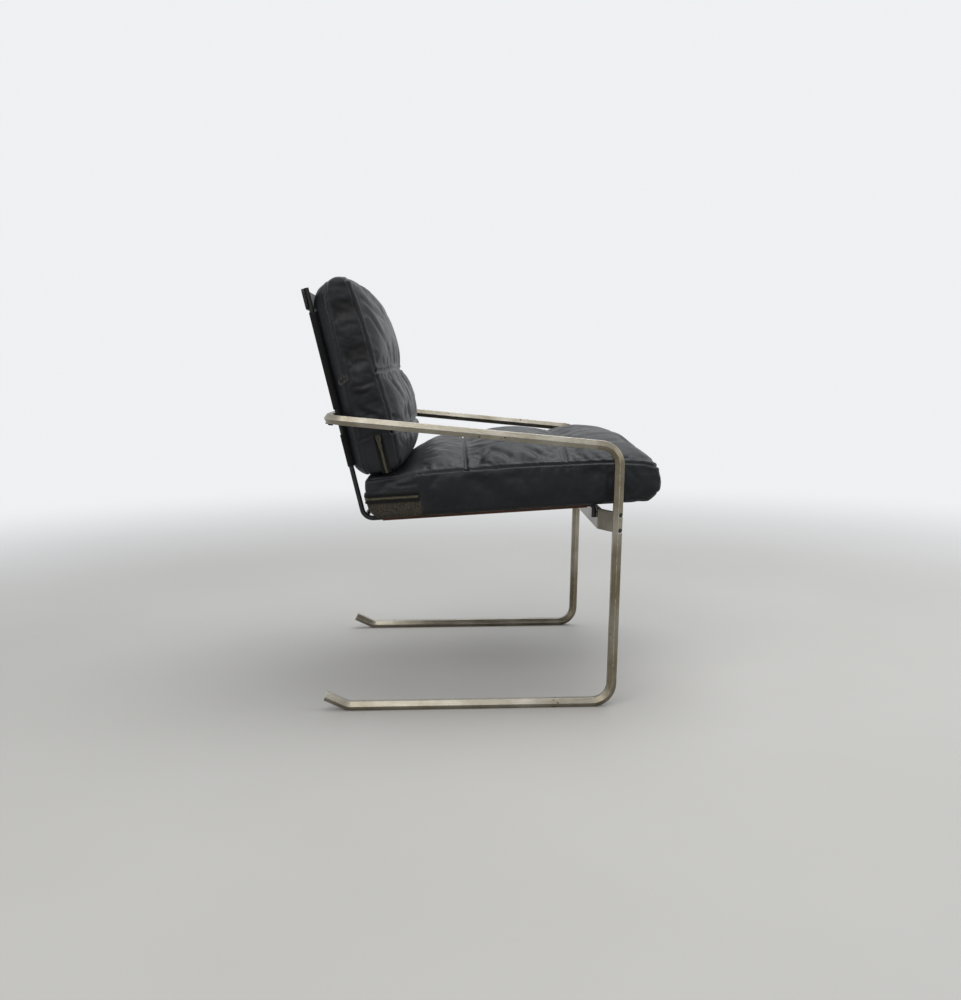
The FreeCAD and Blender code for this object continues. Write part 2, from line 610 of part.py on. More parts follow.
# Further outlines, in hem radii inside the side rod, closer together where the resting face turns.
SEAT_TURNS = (-1.0, 0.0, 1.2, 2.5, 5.0, 9.0, 17.0)
BACK_TURNS = (-1.0, 0.0, 2.5, 5.0, 13.0)


def cushion_rest(across, drop):
    """Height of the resting face over the rods' plane: on the hems, easing down to the sheet between."""
    crest = CUSHION_SEAT + size("HemEase")
    if across >= ROD_Y:
        return crest
    sheet_top = crest - HEM_RADIUS + size("SlingThickness") / 2 - drop * (1 - (across / ROD_Y) ** 2)
    ease = math.exp(-((ROD_Y - across) / (2.2 * HEM_RADIUS)) ** 2)
    return sheet_top + (crest - sheet_top) * ease


def cushion(name, frame, outline, wall, drop, turns):
    """One loft across the cushion, drawn in by the wall on every side."""
    rows = [(CUSHION_HALF * share - wall, pull) for share, pull in CUSHION_ENDS]
    rows += [(ROD_Y - turn * HEM_RADIUS, 0) for turn in turns]
    rows += [(CUSHION_HALF * 0.3, 0), (0, 0)]
    rest_edge = ROD_Y + HEM_RADIUS * 0.3
    wires = []
    for side, half_rows in ((-1, rows), (1, rows[-2::-1])):
        for across, pull in half_rows:
            crown = 1 - min(1, across / CUSHION_HALF) ** 3.4
            free = sine(90 * max(0, (across - rest_edge) / (CUSHION_HALF - rest_edge)))
            ring = outline(crown, cushion_rest(across, drop), free)
            wires.append(outline_wire(ring, frame * shift(y=side * across), pull + wall))
    solid = doc.addObject("Part::Feature", name)
    solid.Shape = Part.makeLoft(wires, True, False, False, 3)
    return solid


def seat_outline(crown, rest, free):
    """Seat cushion: zip band, dish under the back cushion, three panels, nose, underside."""
    length = size("SeatLength")
    low = rest - size("SeatSideDrop") * free
    seam = CUSHION_SEAT + size("SeatSeamHeight")
    rise = size("SeatCrown") * crown
    rear = size("SeatRearInset")
    dish = seam - size("SeatDishDepth")
    middle = CUSHION_SEAT + size("SeatZipHeight")
    band = size("ZipTapeWidth") / 2 + 2
    return [
        (rear + size("SeatRearRound"), low, 4),
        (rear, middle - band, 0),
        (rear, middle + band, 2),
        (rear + 2, dish, 0),
        (size("SeatDishEnd"), dish + 3 + rise * 0.15, 1.5 + 14.5 * crown),
        (size("SeatFirstSeam"), seam - 1 + rise * 0.80, 1.5 + 6.5 * crown),
        (size("SeatSecondSeam"), seam - 1 + rise * 0.84, 1.5 + 5 * crown),
        (length - size("SeatNoseRound"), seam - 6 + rise * 0.72, 3 + 3 * crown),
        (length - 10, seam - 14 + rise * 0.20, 4),
        (length - 2, CUSHION_SEAT + size("SeatNoseHeight"), 3),
        (length - size("SeatNoseUnder"), low, 0),
    ]


def back_outline(crown, rest, free):
    """Back cushion: rear, top, three front panels, foot."""
    foot = size("BackBottom")
    top = foot + size("BackHeight")
    rear = rest + size("BackRearCrown") * free
    heel = rest + size("BackHeelCrown") * free
    seam = CUSHION_SEAT + size("BackRearCrown") + size("BackBoxing")
    swell = size("BackFrontCrown") * crown
    return [
        (heel, foot + size("BackFootRound"), 0),
        (rear, size("BackSlingTop") + 4, 3),
        (rear + 12, top - 16, 5),
        (CUSHION_SEAT + 54, top - 1, 8),
        (seam - 6 + swell * 0.55, top - size("BackTopRound"), 3 + 5 * crown),
        (seam + swell * 0.82, size("BackFirstSeam"), 2 + 5 * crown),
        (seam + 5 + swell * 0.95, size("BackSecondSeam"), 2 + 3 * crown),
        (seam + 6 + swell * 0.60, foot + size("BackFootRound") - 2, 5),
        (seam - 8, foot, 0),
        (heel + size("BackFootRound") - 4, foot, 3),
    ]


def cushion_pair(cover_label, core_label, frame, outline, drop, turns):
    """The hollow leather cover and the foam core inside it."""
    skin = size("CoverThickness")
    outer = cushion(cover_label + "_outer", frame, outline, 0, drop, turns)
    cavity = cushion(cover_label + "_cavity", frame, outline, skin, drop, turns)
    cover = cut(cover_label, outer, cavity)
    core = cushion(core_label, frame, outline, skin + size("CoreGap"), drop, turns)
    core.Label = core_label
    return cover, core


# Zips: a tape with closed teeth round three sides of a cushion, a slider and its pull.
def zip_tape(label, frame, end, reach):
    """The frame's x points away from the cushion's middle stretch, and its z is across the tape."""
    body = new_body(label)
    half = CUSHION_HALF + size("SeatGap")
    for part, thick, width in (("tape", size("ZipTapeThickness"), "ZipTapeWidth"),
                               ("teeth", CHAIN_TOP, "ZipChainWidth")):
        inner = [(-reach, -half), (end, -half), (end, half), (-reach, half)]
        outer = [(-reach, half + thick), (end + thick, half + thick),
                 (end + thick, -half - thick), (-reach, -half - thick)]
        corner = size("ZipCorner")
        plan = new_sketch(body, "%s_%s_plan" % (label, part), frame)
        draw_chain(plan, inner + outer, [0, corner, corner, 0, 0, corner + thick, corner + thick, 0],
                   closed=True)
        pad(body, "%s_%s" % (label, part), plan, width, both=True)
    return body


CHAIN_TOP = size("ZipTapeThickness") + size("ZipChainHeight")
SLIDER_TOP = size("ZipTapeThickness") + size("SliderHeight")
EYE_RADIUS = size("PinDiameter") / 2 + size("SeatGap") + 0.7
PIN_HEIGHT = SLIDER_TOP + size("SeatGap") + EYE_RADIUS
EAR_INNER = size("PullWidth") / 2 + size("SeatGap")


def zip_slider(label, frame):
    """A rounded cap over the teeth, with two ears and the pin of the pull."""
    length, width = size("SliderLength"), size("SliderWidth")
    base = size("ZipTapeThickness") + size("SeatGap")
    cap = box(label + "_cap", (-length / 2, -width / 2, base), (length, width, SLIDER_TOP - base), frame)
    groove = box(label + "_groove", (-length, -size("ZipChainWidth") / 2 - size("SeatGap"), 0),
                 (2 * length, size("ZipChainWidth") + 2 * size("SeatGap"), CHAIN_TOP + size("SeatGap")), frame)
    solids = [cut(label + "_shell", cap, groove)]
    for side in (-1, 1):
        ear = min(side * EAR_INNER, side * width / 2)
        solids.append(box("%s_ear_%d" % (label, side + 1), (-EYE_RADIUS, ear, SLIDER_TOP - 0.5),
                          (2 * EYE_RADIUS, width / 2 - EAR_INNER, PIN_HEIGHT - SLIDER_TOP + 0.5), frame))
        solids.append(cylinder("%s_crown_%d" % (label, side + 1), (0, ear, PIN_HEIGHT), (0, 1, 0),
                               EYE_RADIUS, width / 2 - EAR_INNER, frame))
    solids.append(cylinder(label + "_pin", (0, -width / 2, PIN_HEIGHT), (0, 1, 0),
                           size("PinDiameter") / 2, width, frame))
    whole = fused(label, solids)
    whole.Label = label
    return whole


def zip_pull(label, frame, way):
    """A flat tab that lies along the frame's x, towards the given end."""
    thick = size("PullThickness")
    start = 0 if way > 0 else -size("PullLength")
    tab = box(label + "_tab", (start, -size("PullWidth") / 2, PIN_HEIGHT - thick / 2),
              (size("PullLength"), size("PullWidth"), thick), frame)
    tip = cylinder(label + "_tip", (way * size("PullLength"), 0, PIN_HEIGHT - thick / 2), (0, 0, 1),
                   size("PullWidth") / 2, thick, frame)
    eye = cylinder(label + "_eye", (0, -size("PullWidth") / 2, PIN_HEIGHT), (0, 1, 0), EYE_RADIUS,
                   size("PullWidth"), frame)
    bore = cylinder(label + "_bore", (0, -size("PullWidth") / 2 - 1, PIN_HEIGHT), (0, 1, 0),
                    size("PinDiameter") / 2 + size("SeatGap"), size("PullWidth") + 2, frame)
    hole = cylinder(label + "_hole", (way * size("PullLength"), 0, 0), (0, 0, 1), size("PullWidth") / 4,
                    2 * PIN_HEIGHT, frame)
    solid = fused(label + "_body", [tab, tip, eye])
    return cut(label, cut(label + "_bored", solid, bore), hole)


def seat_slider_frame():
    """On the seat cushion's rear face: x to the chair's right, z to the rear."""
    turn = Rotation(Vector(0, -1, 0), Vector(0, 0, 1), Vector(-1, 0, 0), "XYZ")
    face = size("SeatRearInset") - size("SeatGap")
    place = Vector(face, -size("SeatZipParked"), CUSHION_SEAT + size("SeatZipHeight"))
    return SEAT_FRAME * Placement(place, turn)


def back_slider_frame():
    """On the back cushion's right side: x up the back, z to the chair's right."""
    turn = Rotation(Vector(0, 0, 1), Vector(-1, 0, 0), Vector(0, -1, 0), "XYZ")
    side = -CUSHION_HALF - size("SeatGap")
    parked = size("BackZipTop") - size("SliderLength") / 2 - 1
    return BACK_FRAME * Placement(Vector(CUSHION_SEAT + size("BackZipForward"), side, parked), turn)


side_frame("side_frame_right", -1)
side_frame("side_frame_left", 1)
front_cross_rail("front_cross_rail")
side_rod("side_rod_right", -1)
side_rod("side_rod_left", 1)
head_rail("head_rail")
lower_rail("lower_rail")
rail_screws("rail_screws")
rod_end_screws("rod_end_screws")
crossbar_lug("crossbar_lug_right", -1)
crossbar_lug("crossbar_lug_left", 1)
lug_screws("lug_screws")
sling("seat_sling", SEAT_FRAME * PLANE_YZ, size("SeatSlingStart"), size("SeatSlingEnd"), size("SeatSlingSag"))
BACK_SHEET = BACK_FRAME * Placement(Vector(), Rotation(Vector(0, -1, 0), Vector(1, 0, 0),
                                                       Vector(0, 0, 1), "XYZ"))
notch_hems(sling("back_sling", BACK_SHEET, size("BackSlingBottom"), size("BackSlingTop"),
                 size("BackSlingSag")), BACK_SHEET)
cushion_pair("seat_cover", "seat_core", SEAT_FRAME, seat_outline, size("SeatSlingSag"), SEAT_TURNS)
cushion_pair("back_cover", "back_core", BACK_FRAME, back_outline, size("BackSlingSag"), BACK_TURNS)
REARWARD = Rotation(Vector(-1, 0, 0), Vector(0, 1, 0), Vector(0, 0, -1), "XYZ")
zip_tape("seat_zip", SEAT_FRAME * Placement(Vector(0, 0, CUSHION_SEAT + size("SeatZipHeight")), REARWARD),
         size("SeatGap") - size("SeatRearInset"), size("SeatZipReach"))
zip_slider("seat_zip_slider", seat_slider_frame())
zip_pull("seat_zip_pull", seat_slider_frame(), 1)
DOWNWARD = Rotation(Vector(0, 0, -1), Vector(0, 1, 0), Vector(1, 0, 0), "XYZ")
zip_tape("back_zip", BACK_FRAME * Placement(Vector(CUSHION_SEAT + size("BackZipForward"), 0, 0), DOWNWARD),
         size("SeatGap") - size("BackBottom"), size("BackZipTop"))
zip_slider("back_zip_slider", back_slider_frame())
zip_pull("back_zip_pull", back_slider_frame(), -1)

NODES = (
    "side_frame_right", "side_frame_left", "front_cross_rail", "rail_screws",
    "side_rod_right", "side_rod_left", "rod_end_screws", "head_rail", "lower_rail",
    "crossbar_lug_right", "crossbar_lug_left", "lug_screws", "seat_sling", "back_sling",
    "seat_cover", "seat_core", "seat_zip", "seat_zip_slider", "seat_zip_pull",
    "back_cover", "back_core", "back_zip", "back_zip_slider", "back_zip_pull",
)

doc.recompute()
for obj in doc.Objects:
    if "Invalid" in obj.State or "Error" in obj.State:
        raise RuntimeError("%s did not build: %s" % (obj.Label, obj.State))
for node in NODES:
    shape = doc.getObjectsByLabel(node)[0].Shape
    if shape.isNull() or not shape.isValid() or not shape.Solids:
        raise RuntimeError("%s has no valid solid" % node)
for node in NODES:
    doc.getObjectsByLabel(node)[0].Shape.exportStep("parts/%s.step" % node)
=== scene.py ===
import bpy
import bmesh
import json
import math
import numpy as np
from mathutils import Matrix, Vector, noise
from mathutils.bvhtree import BVHTree
from mathutils.kdtree import KDTree

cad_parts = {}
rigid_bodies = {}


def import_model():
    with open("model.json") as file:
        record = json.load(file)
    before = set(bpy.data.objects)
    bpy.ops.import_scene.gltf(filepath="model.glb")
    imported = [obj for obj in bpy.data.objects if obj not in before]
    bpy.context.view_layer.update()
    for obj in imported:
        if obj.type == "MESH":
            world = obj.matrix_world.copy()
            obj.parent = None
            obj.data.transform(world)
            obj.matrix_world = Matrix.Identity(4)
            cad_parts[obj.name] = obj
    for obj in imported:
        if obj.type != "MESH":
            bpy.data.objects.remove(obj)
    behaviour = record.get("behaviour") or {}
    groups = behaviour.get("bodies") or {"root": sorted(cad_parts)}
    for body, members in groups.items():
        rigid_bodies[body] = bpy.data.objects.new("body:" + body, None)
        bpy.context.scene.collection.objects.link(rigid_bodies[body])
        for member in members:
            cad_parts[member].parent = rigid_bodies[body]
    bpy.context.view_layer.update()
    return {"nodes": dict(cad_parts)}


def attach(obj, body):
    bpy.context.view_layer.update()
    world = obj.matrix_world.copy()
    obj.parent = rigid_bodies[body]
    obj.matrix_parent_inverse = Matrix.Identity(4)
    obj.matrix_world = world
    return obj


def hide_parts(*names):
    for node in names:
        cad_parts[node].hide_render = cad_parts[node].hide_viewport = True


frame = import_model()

for thing in bpy.data.objects:
    thing.select_set(False)


# Studio. A pale floor under a pale sky of soft light, seen from the photograph's place beside the chair,
# just above arm height. The floor is painted board: it keeps the shadow and gives the steel its white glints.
bpy.context.scene.view_settings.view_transform = "Standard"


def new_material(name):
    material = bpy.data.materials.new(name)
    material.use_nodes = True
    tree = material.node_tree
    return material, tree, tree.nodes["Principled BSDF"]


def node(tree, kind, links=(), **settings):
    made = tree.nodes.new(kind)
    for key, value in settings.items():
        if key.startswith("in_"):
            made.inputs[key[3:].replace("_", " ")].default_value = value
        else:
            setattr(made, key, value)
    for source, target in links:
        tree.links.new(source, made.inputs[target])
    return made


def feed(tree, socket, value):
    """Links an input to another node, or gives it a plain value."""
    if isinstance(value, bpy.types.NodeSocket):
        tree.links.new(value, socket)
    elif value is not None:
        socket.default_value = value


def sums(tree, operation, first, second=None, clamp=False):
    made = node(tree, "ShaderNodeMath", operation=operation, use_clamp=clamp)
    feed(tree, made.inputs[0], first)
    feed(tree, made.inputs[1], second)
    return made.outputs[0]


def ranged(tree, value, low, high, to_low=0.0, to_high=1.0, **settings):
    made = node(tree, "ShaderNodeMapRange", [(value, "Value")], in_From_Min=low, in_From_Max=high,
                in_To_Min=to_low, in_To_Max=to_high, **settings)
    return made.outputs[0]


def cloudy(tree, where, scale, detail, **settings):
    """Noise on the piece's own coordinates."""
    made = node(tree, "ShaderNodeTexNoise", [(where.outputs["Object"], "Vector")], in_Scale=scale,
                in_Detail=detail, **settings)
    return made.outputs["Fac"]


def two_tones(tree, value, low, dark, high, light):
    ramp = node(tree, "ShaderNodeValToRGB", [(value, "Fac")])
    for stop, position, colour in zip(ramp.color_ramp.elements, (low, high), (dark, light)):
        stop.position = position
        stop.color = (*colour, 1)
    return ramp.outputs["Color"]


backdrop = (0.86, 0.875, 0.895, 1)

turn, nod, tilt = math.radians(1.52), math.radians(7.381), math.radians(-0.455)
ahead = Vector((math.sin(turn) * math.cos(nod), math.cos(turn) * math.cos(nod), -math.sin(nod)))
level = Vector((math.cos(turn), -math.sin(turn), 0))
rise = level.cross(ahead)
across = level * math.cos(tilt) + rise * math.sin(tilt)
upright = rise * math.cos(tilt) - level * math.sin(tilt)
camera_data = bpy.data.cameras.new("camera")
camera_data.sensor_fit = "VERTICAL"
camera_data.sensor_height = 36
camera_data.lens = 36
camera = bpy.data.objects.new("camera", camera_data)
bpy.context.scene.collection.objects.link(camera)
camera_place = (-0.0568, -2.0893, 0.6201)
camera.matrix_world = Matrix.Translation(camera_place) @ Matrix((across, upright, -ahead)).transposed().to_4x4()
bpy.context.scene.camera = camera

world = bpy.data.worlds.new("studio")
bpy.context.scene.world = world
world.use_nodes = True
sky = world.node_tree
sky.nodes.clear()


def seen_directly(tree, *kinds):
    """1 on the rays that see the backdrop itself, 0 on those that only light the chair."""
    rays = node(tree, "ShaderNodeLightPath")
    seen = rays.outputs["Is Camera Ray"]
    for kind in kinds:
        seen = sums(tree, "MAXIMUM", seen, rays.outputs[kind])
    return seen


sky_seen = seen_directly(sky, "Is Glossy Ray", "Is Transmission Ray")
sky_light = node(sky, "ShaderNodeBackground", in_Color=(0.86, 0.93, 1.0, 1), in_Strength=0.46)
sky_shown = node(sky, "ShaderNodeBackground", in_Color=backdrop, in_Strength=1.0)
sky_mix = node(sky, "ShaderNodeMixShader",
               [(sky_seen, 0), (sky_light.outputs[0], 1), (sky_shown.outputs[0], 2)])
node(sky, "ShaderNodeOutputWorld", [(sky_mix.outputs[0], "Surface")])

floor_finish, tree, shader = new_material("studio_floor")
shader.inputs["Roughness"].default_value = 0.62
where = node(tree, "ShaderNodeTexCoord")
cloud = cloudy(tree, where, 1.3, 6.0)
tone = two_tones(tree, cloud, 0.0, (0.44, 0.42, 0.39), 1.0, (0.52, 0.50, 0.47))
tree.links.new(tone, shader.inputs["Base Color"])
clear_within, lost_beyond = 1.0, 3.4
reach = node(tree, "ShaderNodeVectorMath", [(where.outputs["Object"], 0)], operation="LENGTH")
fade = ranged(tree, reach.outputs["Value"], clear_within, lost_beyond, interpolation_type="SMOOTHSTEP")
fade = sums(tree, "MULTIPLY", fade, seen_directly(tree, "Is Glossy Ray"))
haze = node(tree, "ShaderNodeEmission", in_Color=backdrop)
hazy = node(tree, "ShaderNodeMixShader", [(fade, 0), (shader.outputs[0], 1), (haze.outputs[0], 2)])
tree.links.new(hazy.outputs[0], tree.nodes["Material Output"].inputs["Surface"])
bpy.ops.mesh.primitive_plane_add(size=30, location=(0, 0, 0))
floor = bpy.context.object
floor.name = "studio_floor"
floor.data.materials.append(floor_finish)

for name, place, aim, width, power, tint in (
        ("window_light", (-1.2, -2.6, 3.0), (0, 0, 0.45), 2.4, 46, (1.0, 0.985, 0.965)),
        ("roof_light", (0.6, 0.5, 3.4), (0.1, 0, 0.4), 2.8, 74, (0.95, 0.975, 1.0)),
        ("front_light", (3.2, -0.6, 1.9), (0, 0, 0.45), 1.8, 26, (0.97, 0.985, 1.0))):
    lamp = bpy.data.lights.new(name, "AREA")
    lamp.size = width
    lamp.energy = power
    lamp.color = tint
    stand = bpy.data.objects.new(name, lamp)
    stand.location = place
    stand.rotation_euler = (Vector(aim) - Vector(place)).to_track_quat("-Z", "Y").to_euler()
    bpy.context.scene.collection.objects.link(stand)

# Side frames and cross rail. Hexagonal bar and flat bar of nickel-plated steel, bent cold, brushed, and grown
# warm and spotted with age. The plating shines through on the ridges, and rust sits in small pits.


def new_group(name, inputs, outputs):
    group = bpy.data.node_groups.new(name, "ShaderNodeTree")
    for label, kind, value in inputs:
        made = group.interface.new_socket(label, in_out="INPUT", socket_type=kind)
        if value is not None:
            made.default_value = value
    for label, kind in outputs:
        group.interface.new_socket(label, in_out="OUTPUT", socket_type=kind)
    return group, group.nodes.new("NodeGroupInput"), group.nodes.new("NodeGroupOutput")


def blended(tree, factor, first, second, **settings):
    """Two colours, each from a node or plain, mixed by a mask."""
    made = node(tree, "ShaderNodeMix", data_type="RGBA", **settings)
    feed(tree, made.inputs["Factor"], factor)
    for label, colour in (("A", first), ("B", second)):
        feed(tree, made.inputs[label], (*colour, 1) if isinstance(colour, tuple) else colour)
    return made.outputs["Result"]


def relief(tree, shader, height, strength, distance, normal=None):
    bump = node(tree, "ShaderNodeBump", [(height, "Height")], in_Strength=strength, in_Distance=distance)
    feed(tree, bump.inputs["Normal"], normal)
    tree.links.new(bump.outputs[0], shader.inputs["Normal"])


# Edge wear: how far the rounded normal leaves the flat one, broken up by noise.
edge_wear, given, result = new_group(
    "edge_wear", [("Radius", "NodeSocketFloat", 0.0012), ("Grain", "NodeSocketFloat", 240.0),
                  ("Amount", "NodeSocketFloat", 1.0)],
    [("Mask", "NodeSocketFloat"), ("Normal", "NodeSocketVector")])
rounded = node(edge_wear, "ShaderNodeBevel", [(given.outputs["Radius"], "Radius")], samples=6)
flat = node(edge_wear, "ShaderNodeNewGeometry")
turned = node(edge_wear, "ShaderNodeVectorMath", [(rounded.outputs[0], 0), (flat.outputs["Normal"], 1)],
              operation="DOT_PRODUCT")
sharp = ranged(edge_wear, turned.outputs["Value"], 0.995, 0.90)
place = node(edge_wear, "ShaderNodeTexCoord")
broken = node(edge_wear, "ShaderNodeTexNoise",
              [(place.outputs["Object"], "Vector"), (given.outputs["Grain"], "Scale")], in_Detail=4.0)
broken = ranged(edge_wear, broken.outputs["Fac"], 0.35, 0.6)
worn = sums(edge_wear, "MULTIPLY", sharp, broken)
worn = sums(edge_wear, "MULTIPLY", worn, given.outputs["Amount"], clamp=True)
edge_wear.links.new(worn, result.inputs["Mask"])
edge_wear.links.new(rounded.outputs[0], result.inputs["Normal"])

# Brushing: fine scratches along the bar, along X on arm and runner, along Z on the legs, along Y behind.
brushing, given, result = new_group(
    "brushing", [("Leg Front", "NodeSocketFloat", 0.195), ("Bar Rear", "NodeSocketFloat", -0.262)],
    [("Scratch", "NodeSocketFloat"), ("Blotch", "NodeSocketFloat"), ("Leg", "NodeSocketFloat")])
place = node(brushing, "ShaderNodeTexCoord")
strokes = []
for stretch in ((12, 1500, 1500), (1500, 1500, 12), (1500, 12, 1500)):
    stretched = node(brushing, "ShaderNodeMapping", [(place.outputs["Object"], "Vector")], in_Scale=stretch)
    stroke = node(brushing, "ShaderNodeTexNoise", [(stretched.outputs[0], "Vector")], in_Scale=1.0,
                  in_Detail=3.0)
    strokes.append(stroke.outputs["Fac"])
apart = node(brushing, "ShaderNodeSeparateXYZ", [(place.outputs["Object"], "Vector")])
on_leg = node(brushing, "ShaderNodeMapRange",
              [(apart.outputs["X"], "Value"), (given.outputs["Leg Front"], "From Min")], in_From_Max=0.205)
on_rear = node(brushing, "ShaderNodeMapRange",
               [(apart.outputs["X"], "Value"), (given.outputs["Bar Rear"], "From Min")], in_From_Max=-0.270)
chosen = strokes[0]
for area, stroke in ((on_leg, strokes[1]), (on_rear, strokes[2])):
    chosen = node(brushing, "ShaderNodeMix",
                  [(area.outputs[0], "Factor"), (chosen, "A"), (stroke, "B")]).outputs[0]
brushing.links.new(chosen, result.inputs["Scratch"])
brushing.links.new(cloudy(brushing, place, 10.0, 7.0, in_Roughness=0.58), result.inputs["Blotch"])
brushing.links.new(on_leg.outputs[0], result.inputs["Leg"])


def nickel(name, clean, patina_and_shade_tone, spots):
    """Brushed plate: clean where rubbed, patina in blotches, rust spots in pits; the leg parts take the same
    dark tone as painted shade.
    """
    material, tree, shader = new_material(name)
    wear = node(tree, "ShaderNodeGroup", node_tree=edge_wear)
    brush = node(tree, "ShaderNodeGroup", node_tree=brushing)
    where = node(tree, "ShaderNodeTexCoord")
    scratch = brush.outputs["Scratch"]
    # Painted shade: the leg parts are pushed towards the dark patina tone, standing in for the darker floor
    # that they reflect.
    leg_painted_shade = sums(tree, "MULTIPLY", brush.outputs["Leg"], 0.38)
    patina_and_leg_shade = sums(tree, "ADD", ranged(tree, brush.outputs["Blotch"], 0.30, 0.78), leg_painted_shade, clamp=True)
    colour = blended(tree, patina_and_leg_shade, clean, patina_and_shade_tone)
    streak = ranged(tree, scratch, 0.3, 0.7, 0.86, 1.10)
    colour = blended(tree, 1.0, colour, streak, blend_type="MULTIPLY")
    rubbed = blended(tree, wear.outputs["Mask"], colour, (0.72, 0.70, 0.66))
    pit_cells = node(tree, "ShaderNodeTexVoronoi", [(where.outputs["Object"], "Vector")], in_Scale=95.0)
    pit_near = ranged(tree, pit_cells.outputs["Distance"], 0.26, 0.10)
    pit_some = ranged(tree, cloudy(tree, where, 17.0, 3.0), spots, spots + 0.04)
    pit = sums(tree, "MULTIPLY", pit_near, pit_some, clamp=True)
    tree.links.new(blended(tree, pit, rubbed, (0.075, 0.04, 0.022)), shader.inputs["Base Color"])
    tree.links.new(ranged(tree, pit, 0.0, 1.0, 1.0, 0.15), shader.inputs["Metallic"])
    rough = ranged(tree, scratch, 0.3, 0.7, 0.24, 0.42)
    dull = node(tree, "ShaderNodeMix", [(pit, "Factor"), (rough, "A")], in_B=0.85)
    tree.links.new(dull.outputs[0], shader.inputs["Roughness"])
    relief(tree, shader, sums(tree, "SUBTRACT", scratch, pit), 0.16, 0.0004, wear.outputs["Normal"])
    return material


def finish_node(names, material):
    for name in names:
        piece = frame["nodes"][name]
        for slot in piece.material_slots:
            slot.material = material
        if not piece.material_slots:
            piece.data.materials.append(material)


finish_node(["side_frame_right", "side_frame_left"],
            nickel("nickelled_bar", (0.42, 0.395, 0.335), (0.160, 0.134, 0.088), 0.585))
finish_node(["front_cross_rail"], nickel("nickelled_flat", (0.36, 0.34, 0.295), (0.15, 0.135, 0.105), 0.60))

# Screws. Blackened steel socket screws: four leg screws sunk in the legs' outer facets, two at the rod ends
# behind the cross rail, and two black ones up through the crossbar lugs.


def dark_steel(name, colour, roughness):
    material, tree, shader = new_material(name)
    wear = node(tree, "ShaderNodeGroup", node_tree=edge_wear, in_Radius=0.0005, in_Grain=900.0)
    shade = blended(tree, wear.outputs["Mask"], colour, (0.30, 0.29, 0.27))
    tree.links.new(shade, shader.inputs["Base Color"])
    stain = cloudy(tree, node(tree, "ShaderNodeTexCoord"), 420.0, 4.0)
    rough = ranged(tree, stain, 0.0, 1.0, roughness - 0.12, roughness + 0.2)
    tree.links.new(rough, shader.inputs["Roughness"])
    relief(tree, shader, stain, 0.3, 0.0002, wear.outputs["Normal"])
    shader.inputs["Metallic"].default_value = 0.85
    return material


finish_node(["rail_screws", "rod_end_screws"], dark_steel("screw_steel", (0.10, 0.095, 0.085), 0.42))
finish_node(["lug_screws"], dark_steel("screw_black", (0.03, 0.03, 0.03), 0.5))

# Rod frame. Round and flat steel welded up and brushed with black lacquer, which has thinned on the edges
# and carries fine dust. It hangs under the crossbar by two lugs and is screwed to the cross rail in front.
lacquer, tree, shader = new_material("black_lacquer")
wear = node(tree, "ShaderNodeGroup", node_tree=edge_wear, in_Radius=0.0012, in_Grain=380.0, in_Amount=0.8)
where = node(tree, "ShaderNodeTexCoord")
cloud = cloudy(tree, where, 38.0, 7.0)
shade = two_tones(tree, cloud, 0.35, (0.005, 0.005, 0.005), 0.75, (0.018, 0.017, 0.016))
tree.links.new(blended(tree, wear.outputs["Mask"], shade, (0.10, 0.09, 0.078)), shader.inputs["Base Color"])
tree.links.new(ranged(tree, cloud, 0.0, 1.0, 0.28, 0.58), shader.inputs["Roughness"])
relief(tree, shader, cloudy(tree, where, 260.0, 3.0), 0.25, 0.0003, wear.outputs["Normal"])
shader.inputs["Specular IOR Level"].default_value = 0.32
finish_node(["side_rod_right", "side_rod_left", "head_rail", "lower_rail", "crossbar_lug_right",
             "crossbar_lug_left"], lacquer)

# Slings. One layer of heavy canvas between the side rods, each edge turned round its rod and sewn back on
# itself as a sleeve with two rows of stitches: reddish brown under the seat, black behind the back.
middle_x = 0.291187
rod_y = 0.240021
rod_lean, seat_slope = math.radians(12.8), math.radians(3.04)
seat_corner = (0.067017 - middle_x, 0.348130)
bar_crossing = (0.024258 - middle_x, 0.536333)


def seat_point(s, y, n):
    """Along the seat from the rods' rear corner, across, and above the rods' plane, in metres."""
    return Vector((seat_corner[0] + s * math.cos(seat_slope) - n * math.sin(seat_slope), y,
                   seat_corner[1] + s * math.sin(seat_slope) + n * math.cos(seat_slope)))


def back_point(u, y, w):
    """Up the back from the crossbar, across, and in front of the rods' plane, in metres."""
    return Vector((bar_crossing[0] - u * math.sin(rod_lean) + w * math.cos(rod_lean), y,
                   bar_crossing[1] + u * math.cos(rod_lean) + w * math.sin(rod_lean)))


def new_piece(name, verts, faces, smooth=True):
    mesh = bpy.data.meshes.new(name)
    mesh.from_pydata([tuple(v) for v in verts], [], faces)
    mesh.polygons.foreach_set("use_smooth", [smooth] * len(mesh.polygons))
    piece = bpy.data.objects.new(name, mesh)
    bpy.context.scene.collection.objects.link(piece)
    return piece


def apply_all(piece):
    bpy.ops.object.select_all(action="DESELECT")
    bpy.context.view_layer.objects.active = piece
    piece.select_set(True)
    for modifier in list(piece.modifiers):
        bpy.ops.object.modifier_apply(modifier=modifier.name)
    piece.select_set(False)


